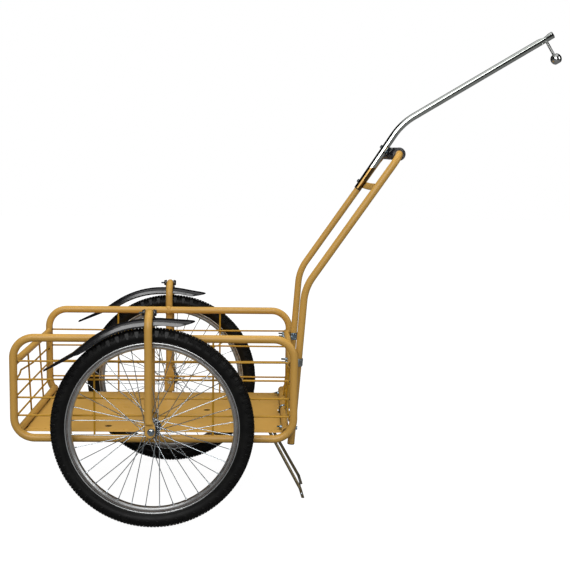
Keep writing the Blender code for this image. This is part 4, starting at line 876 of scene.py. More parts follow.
GUARD_HALF = 0.0285
GUARD_DEPTH = 0.0170
GUARD_THICKNESS = 0.0018
GUARD_EDGE = 0.0010
GUARD_CREST_DROP = 0.0011
GUARD_STEP = 0.006
GUARD_END_DEPTH, GUARD_END_SHARE = 0.004, 0.62
GUARD_TIP_DEPTH, GUARD_TIP_SHARE = 0.0024, 0.12
GUARD_KINK_DEPTH = 0.010
GUARD_DEEPENS_OVER = 0.045
GUARD_LIP, GUARD_LEAST_LIP, GUARD_LIP_FADE = 0.0046, 0.0004, 0.8
GUARD_LIP_GROWS_OVER, GUARD_LIP_FADES_OVER = 0.012, 0.04
GUARD_REAR_TAPER = 0.157
GUARD_FRONT_TAPER = 0.046
GUARD_CROWN = 0.80
GUARD_CROWN_SHARE = 0.30
GUARD_TILTS = {"right": math.radians(5.7), "left": 0.0}
GUARD_CREST = (
    (-0.3275, -0.1385), (-0.2383, -0.0955), (-0.1197, -0.0155),
    (0.0200, -0.0155), (0.0865, -0.0278), (0.1265, -0.0345),
)
GUARD_RADII = (0.030, 0.300, 0.300, 0.050)
GUARD_FRONT = 0.05
EAR = 0.003
EAR_MIDDLE = HOOP_TUBE + GAP + EAR / 2
EAR_ROOT = 0.0175
EAR_TOP, EAR_ROUND = 0.004, 0.006
EAR_ROOT_WIDTH, EAR_NECK_WIDTH, EAR_LOW_WIDTH, EAR_WIDTH, EAR_TOP_WIDTH = 0.030, 0.022, 0.020, 0.019, 0.008
CUP = ((0, 0.0062), (0, 0.0096), (0.0045, 0.0094), (0.0058, 0.0084), (0.0058, 0.0066), (0.0010, 0.0062))
CUP_FROM_EAR = 0.0014


def tilted(x, z, tilt):
    """A point in the middle plane, turned about the hoop's top."""
    return upright(x * math.cos(tilt) - z * math.sin(tilt), x * math.sin(tilt) + z * math.cos(tilt))


def guard_height(sine, depth):
    """How far the guard's skin lies below its crest: a low crown between two slanted skirts."""
    size = abs(sine)
    crown = 1 - math.cos(math.asin(min(size / GUARD_CROWN, 1.0)))
    skirt = max(size - GUARD_CROWN, 0.0) / (1 - GUARD_CROWN)
    return -GUARD_CREST_DROP - depth * (GUARD_CROWN_SHARE * crown + (1 - GUARD_CROWN_SHARE) * skirt)


def guard_section(x, rear, kink, front):
    """Half the guard's width, its depth and its turned-down lip at a place along it."""
    from_rear, from_front = (x - rear) / GUARD_REAR_TAPER, (front - x) / GUARD_FRONT_TAPER
    share = held(min(from_rear, from_front))
    least = GUARD_END_SHARE if from_rear < from_front else GUARD_TIP_SHARE
    half = GUARD_HALF * (least + (1 - least) * math.sqrt(1 - (1 - share) ** 2))
    past_kink = x - kink
    depth = GUARD_END_DEPTH + (GUARD_KINK_DEPTH - GUARD_END_DEPTH) * held(1 + past_kink / (kink - rear))
    depth += (GUARD_DEPTH - GUARD_KINK_DEPTH) * eased(past_kink / GUARD_DEEPENS_OVER)
    depth = GUARD_TIP_DEPTH + (depth - GUARD_TIP_DEPTH) * held(from_front)
    faded = 1 - GUARD_LIP_FADE * eased(x / GUARD_LIP_FADES_OVER)
    lip = GUARD_LIP * eased(past_kink / GUARD_LIP_GROWS_OVER) * faded
    return half, depth, GUARD_LEAST_LIP + lip


def guard_rings(tilt, setback):
    """Rings of the shell from its rear end to its tip, each across its outside and back along its inside."""
    arch = [math.sin(turn) for turn in evenly(-math.pi / 2, math.pi / 2, 20)]
    corners = [upright(x + (setback if x > GUARD_FRONT else 0), z) for x, z in GUARD_CREST]
    path = rounded(corners, GUARD_RADII, 9)
    stations = []
    for (point, along), (after, after_along) in zip(path, path[1:]):
        pieces = max(int((after - point).length / GUARD_STEP), 1)
        for share in evenly(0, 1, pieces)[:-1]:
            stations.append((point.lerp(after, share), along.lerp(after_along, share).normalized()))
    rings = []
    for crest, along in stations + path[-1:]:
        half, depth, lip = guard_section(crest.x, corners[0].x, corners[1].x, corners[-1].x)
        inner = half - GUARD_THICKNESS
        low = guard_height(1, depth) - lip
        outline = [(GUARD_EDGE - half, low)] + [(sine * half, guard_height(sine, depth)) for sine in arch]
        outline += [(half - GUARD_EDGE, low), (inner - GUARD_EDGE, low)]
        outline += [(sine * inner, guard_height(sine, depth - GUARD_THICKNESS) - GUARD_THICKNESS)
                    for sine in reversed(arch)]
        outline.append((GUARD_EDGE - inner, low))
        ring = []
        for sideways, height in outline:
            point = crest + rear_of(along) * height
            ring.append(tilted(point.x, point.z, tilt) + Y * sideways)
        rings.append(ring)
    return rings


def ear(bm, end, tilt):
    """An ear of the mudguard against the hoop's tube, with the cup that holds its bolt."""
    x = end * EAR_MIDDLE
    root = tilted(x, -EAR_ROOT, tilt).z
    levels = [(root, EAR_ROOT_WIDTH, 2 * EAR), (root + EAR, EAR_NECK_WIDTH, 1.2 * EAR)]
    levels += [(-EAR_TOP, EAR_LOW_WIDTH, EAR), (EAR_TOP, EAR_WIDTH, EAR)]
    for turn in evenly(0, math.pi / 2, 6)[1:-1]:
        wide = EAR_WIDTH - (EAR_WIDTH - EAR_TOP_WIDTH) * (1 - math.cos(turn))
        levels.append((EAR_TOP + EAR_ROUND * math.sin(turn), wide, EAR))
    sweep(bm, [(upright(x, z), Z, rectangle(wide, thick, thick * 0.3)) for z, wide, thick in levels], Y)
    lathe(bm, upright(x + end * CUP_FROM_EAR, 0), X * end, Y, CUP, 28, closed=True)


def mudguard(side, centre):
    """The plastic shell with its two ears, and the bolt through them and the hoop's tube."""
    at = centre + upright(HOOP_X - SETBACKS[side], HOOP_RISE)
    tilt = GUARD_TILTS[side]
    bm = bmesh.new()
    skin(bm, guard_rings(tilt, SETBACKS[side]))
    for end in (-1, 1):
        ear(bm, end, tilt)
    put(f"{side}_guard_shell", bm, PLASTIC, [f"{side}_mudguard"], HOME + at, 42)
    seat = X * (EAR_MIDDLE + EAR / 2)
    tip = BOLT_TIPS["guard"]
    bolt(f"{side}_guard_bolt", at + seat, -X, 2 * seat.x, tip, f"{side}_mudguard_bolt", STEEL)


# Bolts. Heights are above the face under the head, or past the face that the nut presses.

BOLT = 0.003
BOLT_FLATS = 0.010
BOLT_HEAD_TOP = 0.0045
WASHER_RADIUS = 0.0058
WASHER_TOP, WASHER_FOOT = 0.0010, 0.0002
SHANK_TOP = 0.0015
THREAD_START = 0.0055
NUT_TOP = 0.0063
BOLT_TIPS = {"guard": 0.010, "strap": 0.0125, "leg": 0.0085, "drawbar": 0.006}


def bolt(name, seat, along, grip, tip, node, material=ZINC):
    """A hexagon bolt with its nut and washers, and a threaded end: seat is the face under its head."""
    across = Y if abs(along.y) < 0.5 else X
    bm = bmesh.new()
    for start, end in ((-BOLT_HEAD_TOP, -WASHER_TOP), (grip + WASHER_TOP, grip + NUT_TOP)):
        skin(bm, hex_rings(Vector(), along, across, BOLT_FLATS, start, end))
    for start, end in ((-WASHER_TOP, -WASHER_FOOT), (grip + WASHER_FOOT, grip + WASHER_TOP)):
        lathe(bm, Vector(), along, across, [(start, WASHER_RADIUS), (end, WASHER_RADIUS)])
    shank = [(-SHANK_TOP, BOLT), (grip + THREAD_START, BOLT)]
    for profile in (shank, threads(grip + THREAD_START, grip + NUT_TOP + tip, BOLT)):
        lathe(bm, Vector(), along, across, profile, 16)
    put(name, bm, material, [node], HOME + seat, 30)


# Wheels. A tyre's and a rim's sections go up from the bead seat and sideways, a hub's from its middle.

TYRE_HALF_SECTION = (
    (0.0453, 0.0000), (0.0448, 0.0068), (0.0428, 0.0131), (0.0389, 0.0183), (0.0338, 0.0222),
    (0.0275, 0.0242), (0.0205, 0.0236), (0.0140, 0.0204), (0.0090, 0.0158), (0.0062, 0.0136),
)
TYRE_INSIDE = ((0.0003, 0.0112), (0.0063, 0.0088), (0.0300, 0.0200), (0.0440, 0.0090))
TYRE_RIBS = ((0.0335, 0.0005), (0.0315, 0.0003), (0.0175, 0.0003), (0.0150, 0.0005), (0.0120, 0.0006))
RIB_WIDTH = 0.0005
KNOB_HEIGHT = 0.0042
KNOB_SUNK, KNOB_FOOT = 0.0006, 1.06
KNOB_TOP = ((0.85, 0.92), (1, 0.82))
TREAD_RADIUS = RIM_SEAT + 0.047
TREAD_SHOULDER, TREAD_SHOULDER_FALL = 0.038, 0.72
RIM_HALF_SECTION = (
    (-0.0030, 0.0040), (0.0000, 0.0105), (0.0012, 0.0112), (0.0055, 0.0115), (0.0061, 0.0124),
    (0.0056, 0.0135), (0.0046, 0.0138), (0.0034, 0.0136), (0.0026, 0.0130), (0.0022, 0.0118),
    (0.0012, 0.0110), (-0.0024, 0.0106), (-0.0044, 0.0108), (-0.0052, 0.0120), (-0.0060, 0.0131),
    (-0.0072, 0.0130), (-0.0082, 0.0118), (-0.0092, 0.0108), (-0.0106, 0.0098), (-0.0124, 0.0070),
    (-0.0134, 0.0036),
)
RIM_LINE_SECTION = ((-0.0006, 0.0104), (-0.0009, 0.0113), (-0.0027, 0.0112), (-0.0030, 0.0104))
HUB_HALF_SECTION = (
    (0.0088, 0.0005), (0.0090, 0.0140), (0.0104, 0.0215), (0.0150, 0.0262), (0.0205, 0.0275),
    (0.0222, 0.0280), (0.0226, 0.0290), (0.0222, 0.0301), (0.0205, 0.0305), (0.0160, 0.0306),
    (0.0148, 0.0312), (0.0146, 0.0334), (0.0136, 0.0344), (0.0110, 0.0345), (0.0108, 0.0335),
    (0.0062, 0.0290), (0.0062, 0.0005),
)
SPOKE = 0.00130
SPOKE_CROSS = math.radians(60)
SPOKE_START = math.radians(4.8)
SPOKE_CIRCLE = 0.0190
SPOKE_BEND = 0.0022
SPOKE_HEAD_PROUD = 0.0008
SPOKE_END = RIM_SEAT - 0.0130
SPOKE_STAGGER = 0.0020
SPOKE_HEAD = ((-0.0006, 0.0018), (0.0002, 0.0018), (0.0008, 0.0009))
FLANGE = 0.029
FLANGE_HALF = 0.0015
NIPPLE = ((0, 0.0015), (0.0006, 0.0018), (0.0055, 0.0018), (0.0070, 0.0024), (0.0100, 0.0022))
NIPPLE_REACH = 0.0075
AXLE = 0.0048
AXLE_THREAD = 0.012
AXLE_NUT_FLATS = 0.0150
AXLE_WASHER = 0.0015
AXLE_WASHER_SECTION = (
    (0, 0.0052), (0, 0.0108), (0.0003, 0.0112),
    (0.0012, 0.0112), (AXLE_WASHER, 0.0108), (AXLE_WASHER, 0.0052),
)
AXLE_COLLAR_SECTION = ((AXLE_WASHER, 0.0050), (AXLE_WASHER, 0.0092), (0.0022, 0.0086), (0.0022, 0.0050))
AXLE_RUNOUT, AXLE_NECK = 0.0005, AXLE - 0.0001


def tyre_section():
    """The tyre's half section from crown to bead, as (up from the bead seat, sideways) with its ribs."""
    found = []
    for up, sideways in smooth_curve(TYRE_HALF_SECTION, 5):
        swell = sum(height * math.exp(-((up - at) / RIB_WIDTH) ** 2) for at, height in TYRE_RIBS)
        found.append((up, sideways + swell))
    return found


class Tread:
    """Places points on the tyre's outside by how far they are across it, round it and proud of it."""

    def __init__(self):
        self.curve = smooth_curve(TYRE_HALF_SECTION, 8)
        self.lengths = [0.0]
        for before, after in zip(self.curve, self.curve[1:]):
            self.lengths.append(self.lengths[-1] + math.dist(before, after))

    def place(self, across, turn, proud):
        reach = min(abs(across), self.lengths[-1] - 1e-6)
        index = max(k for k, length in enumerate(self.lengths[:-1]) if length <= reach)
        share = (reach - self.lengths[index]) / (self.lengths[index + 1] - self.lengths[index])
        (up, side), (next_up, next_side) = self.curve[index], self.curve[index + 1]
        slant = math.atan2(next_up - up, next_side - side)
        up += (next_up - up) * share + proud * math.cos(slant)
        side += (next_side - side) * share - proud * math.sin(slant)
        sign = 1 if across >= 0 else -1
        return slope(turn) * (RIM_SEAT + up) + Y * sign * side

    def knob(self, bm, corners, at, proud):
        """A block on the tread with the given corners (across, along), its sides sloping in to its top."""
        middle_across = sum(across for across, _ in corners) / len(corners)
        middle_along = sum(along for _, along in corners) / len(corners)
        rings = []
        levels = [(-KNOB_SUNK, KNOB_FOOT)] + [(proud * height, share) for height, share in KNOB_TOP]
        for height, share in levels:
            ring = []
            for across, along in corners:
                a = middle_across + (across - middle_across) * share
                b = middle_along + (along - middle_along) * share
                low = 1 - TREAD_SHOULDER_FALL * min(abs(a) / TREAD_SHOULDER, 1.0) ** 2 if height > 0 else 1
                ring.append(self.place(a, at + b / TREAD_RADIUS, height * low))
            rings.append(ring)
        skin(bm, rings)


def tread_blocks(bm):
    """One pitch of the pattern, repeated round the tyre: arrow blocks, side blocks and shoulder lugs."""
    tread = Tread()
    pitch = 2 * math.pi / TREAD_PITCHES
    mm = 0.001
    arrow = [(0.4, 5.0), (6.0, 2.6), (6.4, -3.8), (0.4, -1.4)]
    block = [(7.6, 5.4), (13.2, 4.2), (13.8, -2.0), (8.0, -1.0)]
    long_lug = [(15.2, 7.4), (24.0, 7.4), (32.5, 5.6), (37.2, 2.4)]
    long_lug += [(37.0, -2.2), (32.0, -5.8), (23.0, -6.8), (15.6, -6.4)]
    short_lug = [(15.4, 3.6), (22.0, 3.8), (27.4, 2.6), (29.2, 0.0)]
    short_lug += [(27.4, -2.6), (22.0, -3.8), (15.6, -3.6)]
    pattern = [(third / 3, outline, 1.0) for third in range(3) for outline in (arrow, block)]
    pattern += [(0.0, long_lug, 0.92), (0.5, short_lug, 0.85)]
    for k in range(TREAD_PITCHES):
        for share, outline, height in pattern:
            for hand in (-1, 1):
                corners = [(hand * a * mm, b * mm) for a, b in outline]
                tread.knob(bm, corners, (k + share) * pitch, KNOB_HEIGHT * height)


def tyre(side, spin, centre):
    """The casing with its side walls' ribs, and the tread blocks on it."""
    section = tyre_section()
    half = [(RIM_SEAT + up, sideways) for up, sideways in section[1:] + list(TYRE_INSIDE)]
    bm = bmesh.new()
    turned(bm, mirrored(half), WHEEL_STEPS)
    put(f"{side}_tyre_casing", bm, TYRE, [f"{side}_tyre"], HOME + centre, 32, body=spin)
    bm = bmesh.new()
    tread_blocks(bm)
    put(f"{side}_tyre_tread", bm, TREAD, location=HOME + centre, sharp=20, body=spin)


def rim(side, spin, centre):
    """The rim: hooks, a ribbed side wall, a stepped shoulder and the crown that carries the nipples."""
    lines = bmesh.new()
    for hand in (-1, 1):
        turned(lines, [(RIM_SEAT + up, hand * sideways) for up, sideways in RIM_LINE_SECTION], WHEEL_STEPS)
    put(f"{side}_rim_lines", lines, RIM_LINE, location=HOME + centre, body=spin)
    bm = bmesh.new()
    turned(bm, mirrored([(RIM_SEAT + up, sideways) for up, sideways in RIM_HALF_SECTION]), WHEEL_STEPS)
    put(f"{side}_alloy_rim", bm, ALLOY, [f"{side}_rim"], HOME + centre, 25, spin)


def spokes(side, spin, centre):
    """Bent wires from both flanges, laced over each other, and the nipples that hold them in the rim."""
    wires, nipples = bmesh.new(), bmesh.new()
    outline = circle(SPOKE, 8)
    face = FLANGE_HALF + SPOKE
    for k in range(SPOKE_COUNT):
        turn = SPOKE_START + 2 * math.pi * k / SPOKE_COUNT
        flange = 1 if k % 2 else -1
        leading = 1 if (k // 2) % 2 else -1
        hub_point = slope(turn + leading * SPOKE_CROSS) * SPOKE_CIRCLE
        hub_point += Y * flange * (FLANGE + leading * face)
        head = hub_point - Y * flange * leading * (2 * face + SPOKE_HEAD_PROUD)
        rim_point = slope(turn) * SPOKE_END + Y * flange * SPOKE_STAGGER * (1 + 0.5 * leading)
        sweep(wires, along_path(rounded([head, hub_point, rim_point], [SPOKE_BEND], 4), outline), X)
        lathe(wires, head, (head - hub_point).normalized(), X, SPOKE_HEAD, 10)
        along = (rim_point - hub_point).normalized()
        lathe(nipples, rim_point - along * NIPPLE_REACH, along, Y, NIPPLE, 10)
    put(f"{side}_spoke_wires", wires, STEEL, location=HOME + centre, sharp=60, body=spin)
    put(f"{side}_nipples", nipples, STEEL, location=HOME + centre, sharp=35, body=spin)


def hub(side, spin, centre):
    """The barrel with its two flanges and cups."""
    bm = bmesh.new()
    turned(bm, mirrored(list(HUB_HALF_SECTION)), HUB_STEPS)
    nodes = [f"{side}_hub_and_spokes"]
    put(f"{side}_hub", bm, HUB_STEEL, nodes, HOME + centre, 35, spin)


def axle_set(side, sign, centre):
    """The threaded axle, and its nuts with their washers."""
    low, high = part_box(f"{side}_axle")
    length = high.y - low.y
    start = Y * ((low.y + high.y) / 2 - centre.y - length / 2)
    ends = [threads(AXLE_THREAD, 0.0, AXLE), threads(length - AXLE_THREAD, length, AXLE)]
    plain = [(AXLE_THREAD + AXLE_RUNOUT, AXLE_NECK), (length - AXLE_THREAD - AXLE_RUNOUT, AXLE_NECK)]
    bm = bmesh.new()
    lathe(bm, start, Y, X, ends[0][::-1] + plain + ends[1], 20)
    put(f"{side}_axle_rod", bm, ZINC, [f"{side}_axle"], HOME + centre, 30)
    for place, outward in (("outer", Y * sign), ("inner", -Y * sign)):
        node = f"{side}_{place}_axle_nut"
        low, high = [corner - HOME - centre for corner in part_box(node)]
        base = Y * (low.y if outward.y > 0 else high.y)
        bm = bmesh.new()
        for profile in (AXLE_WASHER_SECTION, AXLE_COLLAR_SECTION):
            lathe(bm, base, outward, X, profile, 32, closed=True)
        skin(bm, hex_rings(base, outward, X, AXLE_NUT_FLATS, AXLE_WASHER, high.y - low.y))
        put(f"{node}_faced", bm, NUT_STEEL, [node], HOME + centre, 30)


# Handle, straps, grips and plugs

PLUG = ((-0.004, 0.8), (0.0001, 0.8), (0.0003, 1), (0.0022, 1), (0.0030, 0.93), (0.0033, 0.80), (0.0031, 0.3))
STRAP = 0.0025
STRAP_WIDTH = 0.024
STRAP_REACH = 0.035
STRAP_CORNER, STRAP_EDGE = 0.0035, 0.0008
STRAP_RIDGE, STRAP_RIDGE_ASIDE, STRAP_RIDGE_SUNK = 0.0014, 0.0075, 0.0004
STRAP_BOLTS = {"outer": 0.028, "inner": -0.028}
GRIP_FROM_DRAWBAR = 0.0175
GRIP_PLAY = 0.0002
GRIP_FLANGE = (
    (0, 0.0192), (0.0008, 0.0202), (0.0020, 0.0205), (0.0032, 0.0202), (0.0040, 0.0192), (0.0040, 0.0172),
)
GRIP_RADIUS, GRIP_WAVE, GRIP_RIB = 0.0164, 0.0032, 0.0005
GRIP_END_RADIUS = 0.0158
GRIP_RIDGES = 7
GRIP_RIDGED_SHARE = 0.985
GRIP_STEPS = 60
STRIP_WIDTH, STRIP_THICKNESS, STRIP_EDGE = 0.022, 0.003, 0.0010
STRIP_BOW = 0.004
STRIP_BEAD, STRIP_BEAD_ASIDE, STRIP_BEAD_SUNK = 0.0016, 0.0098, 0.0012
STRIP_GAP = 0.004
SPACER_EDGE = 0.0006
SPACER_FACE, SPACER_BODY = (0.022, 0.022, 0.003), (0.024, 0.024, 0.004)


def handle():
    """One tube from the end of a leg over the bar to the end of the other, with a plug in each."""
    leg = Y * HANDLE_Y
    run = [LEG_END, HANDLE_KINK, HANDLE_BAR]
    corners = [point - leg for point in run] + [point + leg for point in reversed(run)]
    radii = [HANDLE_KINK_RADIUS, HANDLE_CORNER, HANDLE_CORNER, HANDLE_KINK_RADIUS]
    bm = bmesh.new()
    sweep(bm, along_path(rounded(corners, radii, 14), circle(HANDLE_TUBE, 32)), Y)
    put("handle_tube", bm, OCHRE, ["handle"])
    for side, sign in SIDES.items():
        plug(f"{side}_leg_cap", LEG_END + leg * sign, -LEG_ALONG, HANDLE_TUBE, f"{side}_leg_plug")


def plug(name, at, outward, tube, node):
    """A domed cap with its neck in the tube's end."""
    bm = bmesh.new()
    lathe(bm, at, outward, Y, [(height, tube * share) for height, share in PLUG], 32)
    put(name, bm, PLASTIC, [node], sharp=45)


def strap(side, sign):
    """A saddle strap round the front of a leg, with an ear each side, and the leg's bolts."""
    wrap = HANDLE_TUBE + GAP + STRAP / 2
    ear_at = LEG_REAR * (HANDLE_TUBE - STRAP / 2)
    half = [ear_at + Y * STRAP_REACH, ear_at + Y * wrap, Y * wrap - LEG_REAR * wrap]
    corners = [point - Y * 2 * point.y for point in half] + half[::-1]
    path = rounded(corners, [STRAP_CORNER, wrap, wrap, STRAP_CORNER], 8)
    bm = bmesh.new()
    sweep(bm, along_path(path, rectangle(STRAP_WIDTH, STRAP, STRAP_EDGE)), LEG_ALONG)
    for edge in (-1, 1):
        aside = LEG_ALONG * edge * STRAP_RIDGE_ASIDE - LEG_REAR * STRAP_RIDGE_SUNK
        ridge = [(point + aside, along) for point, along in path[10:-10]]
        sweep(bm, along_path(ridge, circle(STRAP_RIDGE, 8)), LEG_ALONG)
    material = GREY_ZINC if side == "right" else ZINC
    put(f"{side}_strap", bm, material, [f"{side}_leg_strap"], HOME + LEG_TOP + Y * sign * HANDLE_Y)
    front = LEG_TOP + LEG_REAR * (HANDLE_TUBE - STRAP)
    held_length = STRAP + GAP + 2 * BAR_TUBE
    for place, ahead in STRAP_BOLTS.items():
        seat = front + Y * sign * (HANDLE_Y + ahead)
        node = f"{side}_{place}_strap_bolt"
        bolt(f"{side}_{place}_bolt", seat, LEG_REAR, held_length, BOLT_TIPS["strap"], node)
    seat = LEG_LOW - LEG_REAR * HANDLE_TUBE + Y * sign * HANDLE_Y
    held_length = 2 * HANDLE_TUBE + GAP + 2 * BAR_TUBE
    bolt(f"{side}_long_bolt", seat, LEG_REAR, held_length, BOLT_TIPS["leg"], f"{side}_leg_bolt")


def grip(side, sign):
    """A soft sleeve with finger ridges, fine ribs between them, and a flange against the bend."""
    start, end = HANDLE_Y - HANDLE_CORNER, DRAWBAR_TUBE + GRIP_FROM_DRAWBAR
    bore = HANDLE_TUBE + GRIP_PLAY
    back = start - GRIP_FLANGE[-1][0]
    profile = [(start, bore)] + [(start - inward, radius) for inward, radius in GRIP_FLANGE]
    for k in range(1, GRIP_STEPS + 1):
        share = k / GRIP_STEPS
        wave = math.sin(math.pi * GRIP_RIDGES * share) ** 2
        radius = GRIP_RADIUS + GRIP_WAVE * wave + GRIP_RIB * (k % 2)
        profile.append((back - (back - end) * share * GRIP_RIDGED_SHARE, radius))
    profile += [(end, GRIP_END_RADIUS), (end, bore)]
    bm = bmesh.new()
    lathe(bm, Vector(), Y * sign, X, profile, 36, closed=True)
    put(f"{side}_grip_sleeve", bm, GRIP, [f"{side}_grip"], HOME + HANDLE_BAR, 30)


def strip():
    """The flat strip between the handle's legs, its ends bowed up, with a bead along each edge."""
    middle_point = STRIP_AT - DRAWBAR_REAR * (DRAWBAR_TUBE + GAP + STRIP_THICKNESS / 2)
    reach = HANDLE_Y - STRIP_GAP
    path = []
    for y in evenly(-reach, reach, 24):
        path.append((middle_point + Y * y + DRAWBAR_LOWER * STRIP_BOW * (y / reach) ** 2, Y))
    bm = bmesh.new()
    sweep(bm, along_path(path, rectangle(STRIP_WIDTH, STRIP_THICKNESS, STRIP_EDGE)), DRAWBAR_LOWER)
    for edge in (-1, 1):
        aside = DRAWBAR_LOWER * edge * STRIP_BEAD_ASIDE - DRAWBAR_REAR * STRIP_BEAD_SUNK
        sweep(bm, [(point + aside, along, circle(STRIP_BEAD, 10)) for point, along in path], DRAWBAR_LOWER)
    put("cross_strip", bm, OCHRE, ["handle_strip"])


def spacer():
    """The block between the handle's bar and the drawbar, with its edges broken."""
    bm = bmesh.new()
    face, body = rectangle(*SPACER_FACE), rectangle(*SPACER_BODY)
    levels = [(0, face), (SPACER_EDGE, body), (SPACER - SPACER_EDGE, body), (SPACER, face)]
    stack(bm, HANDLE_BAR + DRAWBAR_REAR * (HANDLE_TUBE + GAP), DRAWBAR_REAR, Y, levels)
    put("spacer_block", bm, ZINC, ["drawbar_spacer"])


# Drawbar and hitch

PRESS_DEPTH = 0.0042
PRESS_REACH = 0.013
PRESS_SPREAD = 12
PIN = 0.00475
PIN_TOP, PIN_NECK = 0.003, 0.0002
PIN_NECK_RADIUS = PIN * 1.02
PIN_PITCH, PIN_THREAD = 0.0016, 0.0006
BALL, BALL_HALF = 0.018, 0.0155


def drawbar():
    """The bent tube, pressed flat on top where the hitch pin passes, with its plugs and bolts."""
    path = rounded([DRAWBAR_FOOT, DRAWBAR_BEND, DRAWBAR_TIP], [DRAWBAR_BEND_RADIUS], 20)
    last, along = path[-2]
    path[-1:] = [(last.lerp(DRAWBAR_TIP, share), along) for share in evenly(0, 1, 60)[1:]]
    press_at = (HITCH_TOP - DRAWBAR_TIP).length
    rings = []
    for point, tangent in path:
        from_tip = (DRAWBAR_TIP - point).length
        pressed = PRESS_DEPTH * math.exp(-((from_tip - press_at) / PRESS_REACH) ** 2)
        ring = []
        for a, b in circle(DRAWBAR_TUBE, 32):
            sink = pressed if b > 0 else 0.0
            level = min(b, DRAWBAR_TUBE - sink)
            ring.append(point + Y * a * (1 + sink * PRESS_SPREAD) + rear_of(tangent) * level)
        rings.append(ring)
    bm = bmesh.new()
    skin(bm, rings)
    put("drawbar_tube", bm, CHROME, ["drawbar"])
    plug("drawbar_foot_cap", DRAWBAR_FOOT, -DRAWBAR_LOWER, DRAWBAR_TUBE, "drawbar_lower_plug")
    plug("drawbar_tip_cap", DRAWBAR_TIP, DRAWBAR_UPPER, DRAWBAR_TUBE, "drawbar_upper_plug")
    upper_grip = 2 * DRAWBAR_TUBE + SPACER + 2 * HANDLE_TUBE + 2 * GAP
    lower_grip = 2 * DRAWBAR_TUBE + STRIP_THICKNESS + GAP
    for place, at, length in (("upper", DRAWBAR_CROSSING, upper_grip), ("lower", STRIP_AT, lower_grip)):
        seat = at + DRAWBAR_REAR * DRAWBAR_TUBE
        bolt(f"{place}_bar_bolt", seat, -DRAWBAR_REAR, length, BOLT_TIPS["drawbar"], f"drawbar_{place}_bolt")


def hitch():
    """The threaded pin and the ball with its two flats."""
    reach = math.asin(BALL_HALF / BALL)
    profile = threads(-PIN_TOP, HITCH_REACH - BALL_HALF, PIN, PIN_PITCH, PIN_THREAD)[:-1]
    profile.append((HITCH_REACH - BALL_HALF - PIN_NECK, PIN_NECK_RADIUS))
    for turn in evenly(-reach, reach, 16):
        profile.append((HITCH_REACH + BALL * math.sin(turn), BALL * math.cos(turn)))
    bm = bmesh.new()
    lathe(bm, Vector(), HITCH_DOWN, Y, profile, 40)
    put("ball_and_pin", bm, BALL_CHROME, ["hitch_ball"], HOME + HITCH_TOP, 35)


# Stand

STAND_ROD = 0.005
STAND_TOP = 0.0948
STAND_FOOT, STAND_LIFT = 0.1534, 0.0002
STAND_ANGLE = math.radians(28.9)
STAND_KNEE = 0.030
STAND_FOOT_ANGLE = math.radians(17.0)
STAND_BEND = 0.012
PLATE_THICKNESS, PLATE_CORNER, PLATE_INSET = 0.003, 0.0009, 0.002
PLATE_DEPTH, PLATE_END_DEPTH = 0.011, 0.025
PLATE_UP, RIVET_UP = 0.8, 0.45
RIVET = ((0.001, 0.0036), (0.0056, 0.0036), (0.0062, 0.0028), (0.0066, 0.0010))


def stand():
    """The bent rod with its rounded feet, the plate between them and the rivets on the feet."""
    joint = [j for j in frame["joints"] if j["name"] == "stand_fold"][0]
    pivot = Vector(joint["pos_m"])
    ground = -pivot.z
    knee_z = ground + STAND_KNEE
    knee_x = -knee_z * math.tan(STAND_ANGLE)
    foot_x = knee_x + STAND_KNEE * math.tan(STAND_FOOT_ANGLE)
    top_y, foot_y = STAND_TOP / 2, STAND_FOOT / 2
    knee_y = top_y + (foot_y - top_y) * knee_z / ground
    foot = Vector((foot_x, foot_y, ground + STAND_LIFT))
    leg = [foot, Vector((knee_x, knee_y, knee_z)), Vector((0, top_y, 0))]
    corners = [Vector((x, -y, z)) for x, y, z in leg] + leg[::-1]
    path = rounded(corners, [STAND_BEND] * 4, 7)
    path[0] = (path[0][0], Z)
    path[-1] = (path[-1][0], -Z)
    bm = bmesh.new()
    sweep(bm, along_path(path, circle(STAND_ROD, 20)), X)
    put("stand_rod", bm, YELLOW_ZINC, ["stand"], pivot, 45, "stand")

    at = leg[0].lerp(leg[1], PLATE_UP)
    forward = upright(math.sin(STAND_FOOT_ANGLE), -math.cos(STAND_FOOT_ANGLE))
    stations = []
    for share in evenly(-1, 1, 12):
        extra = (PLATE_END_DEPTH - PLATE_DEPTH) * abs(share) ** 6
        point = upright(at.x, at.z) + Y * (at.y - PLATE_INSET) * share - forward * extra / 2
        stations.append((point, Y, rectangle(PLATE_DEPTH + extra, PLATE_THICKNESS, PLATE_CORNER)))
    bm = bmesh.new()
    sweep(bm, stations, forward)
    put("stand_plate", bm, GREY_ZINC, ["stand_brace"], pivot, 40, "stand")

    at = leg[0].lerp(leg[1], RIVET_UP)
    bm = bmesh.new()
    for sign in (-1, 1):
        lathe(bm, Vector((at.x, sign * at.y, at.z)), Y * sign, X, RIVET, 16)
    put("stand_rivets", bm, STEEL, location=pivot, sharp=35, body="stand")


# Solids that keep their shapes

EDGE = 0.0004
EDGE_ANGLE = math.radians(50)


def repaint(node, material):
    """Gives a CAD node a finish, and shades it smooth between its sharp edges."""
    kept = frame["nodes"][node]
    kept.data.materials.clear()
    kept.data.materials.append(material)
    kept.data.shade_smooth()
    kept.data.set_sharp_from_angle(angle=math.radians(SHARP))


def finish_bracket():
    """The stand's bracket and clamp, rounded a little at their edges."""
    for node, material in (("stand_bracket", OCHRE), ("stand_clamp", ZINC)):
        bevel = frame["nodes"][node].modifiers.new("edges", "BEVEL")
        bevel.width = EDGE
        bevel.segments = 2
        bevel.limit_method = "ANGLE"
        bevel.angle_limit = EDGE_ANGLE
        repaint(node, material)


# Studio

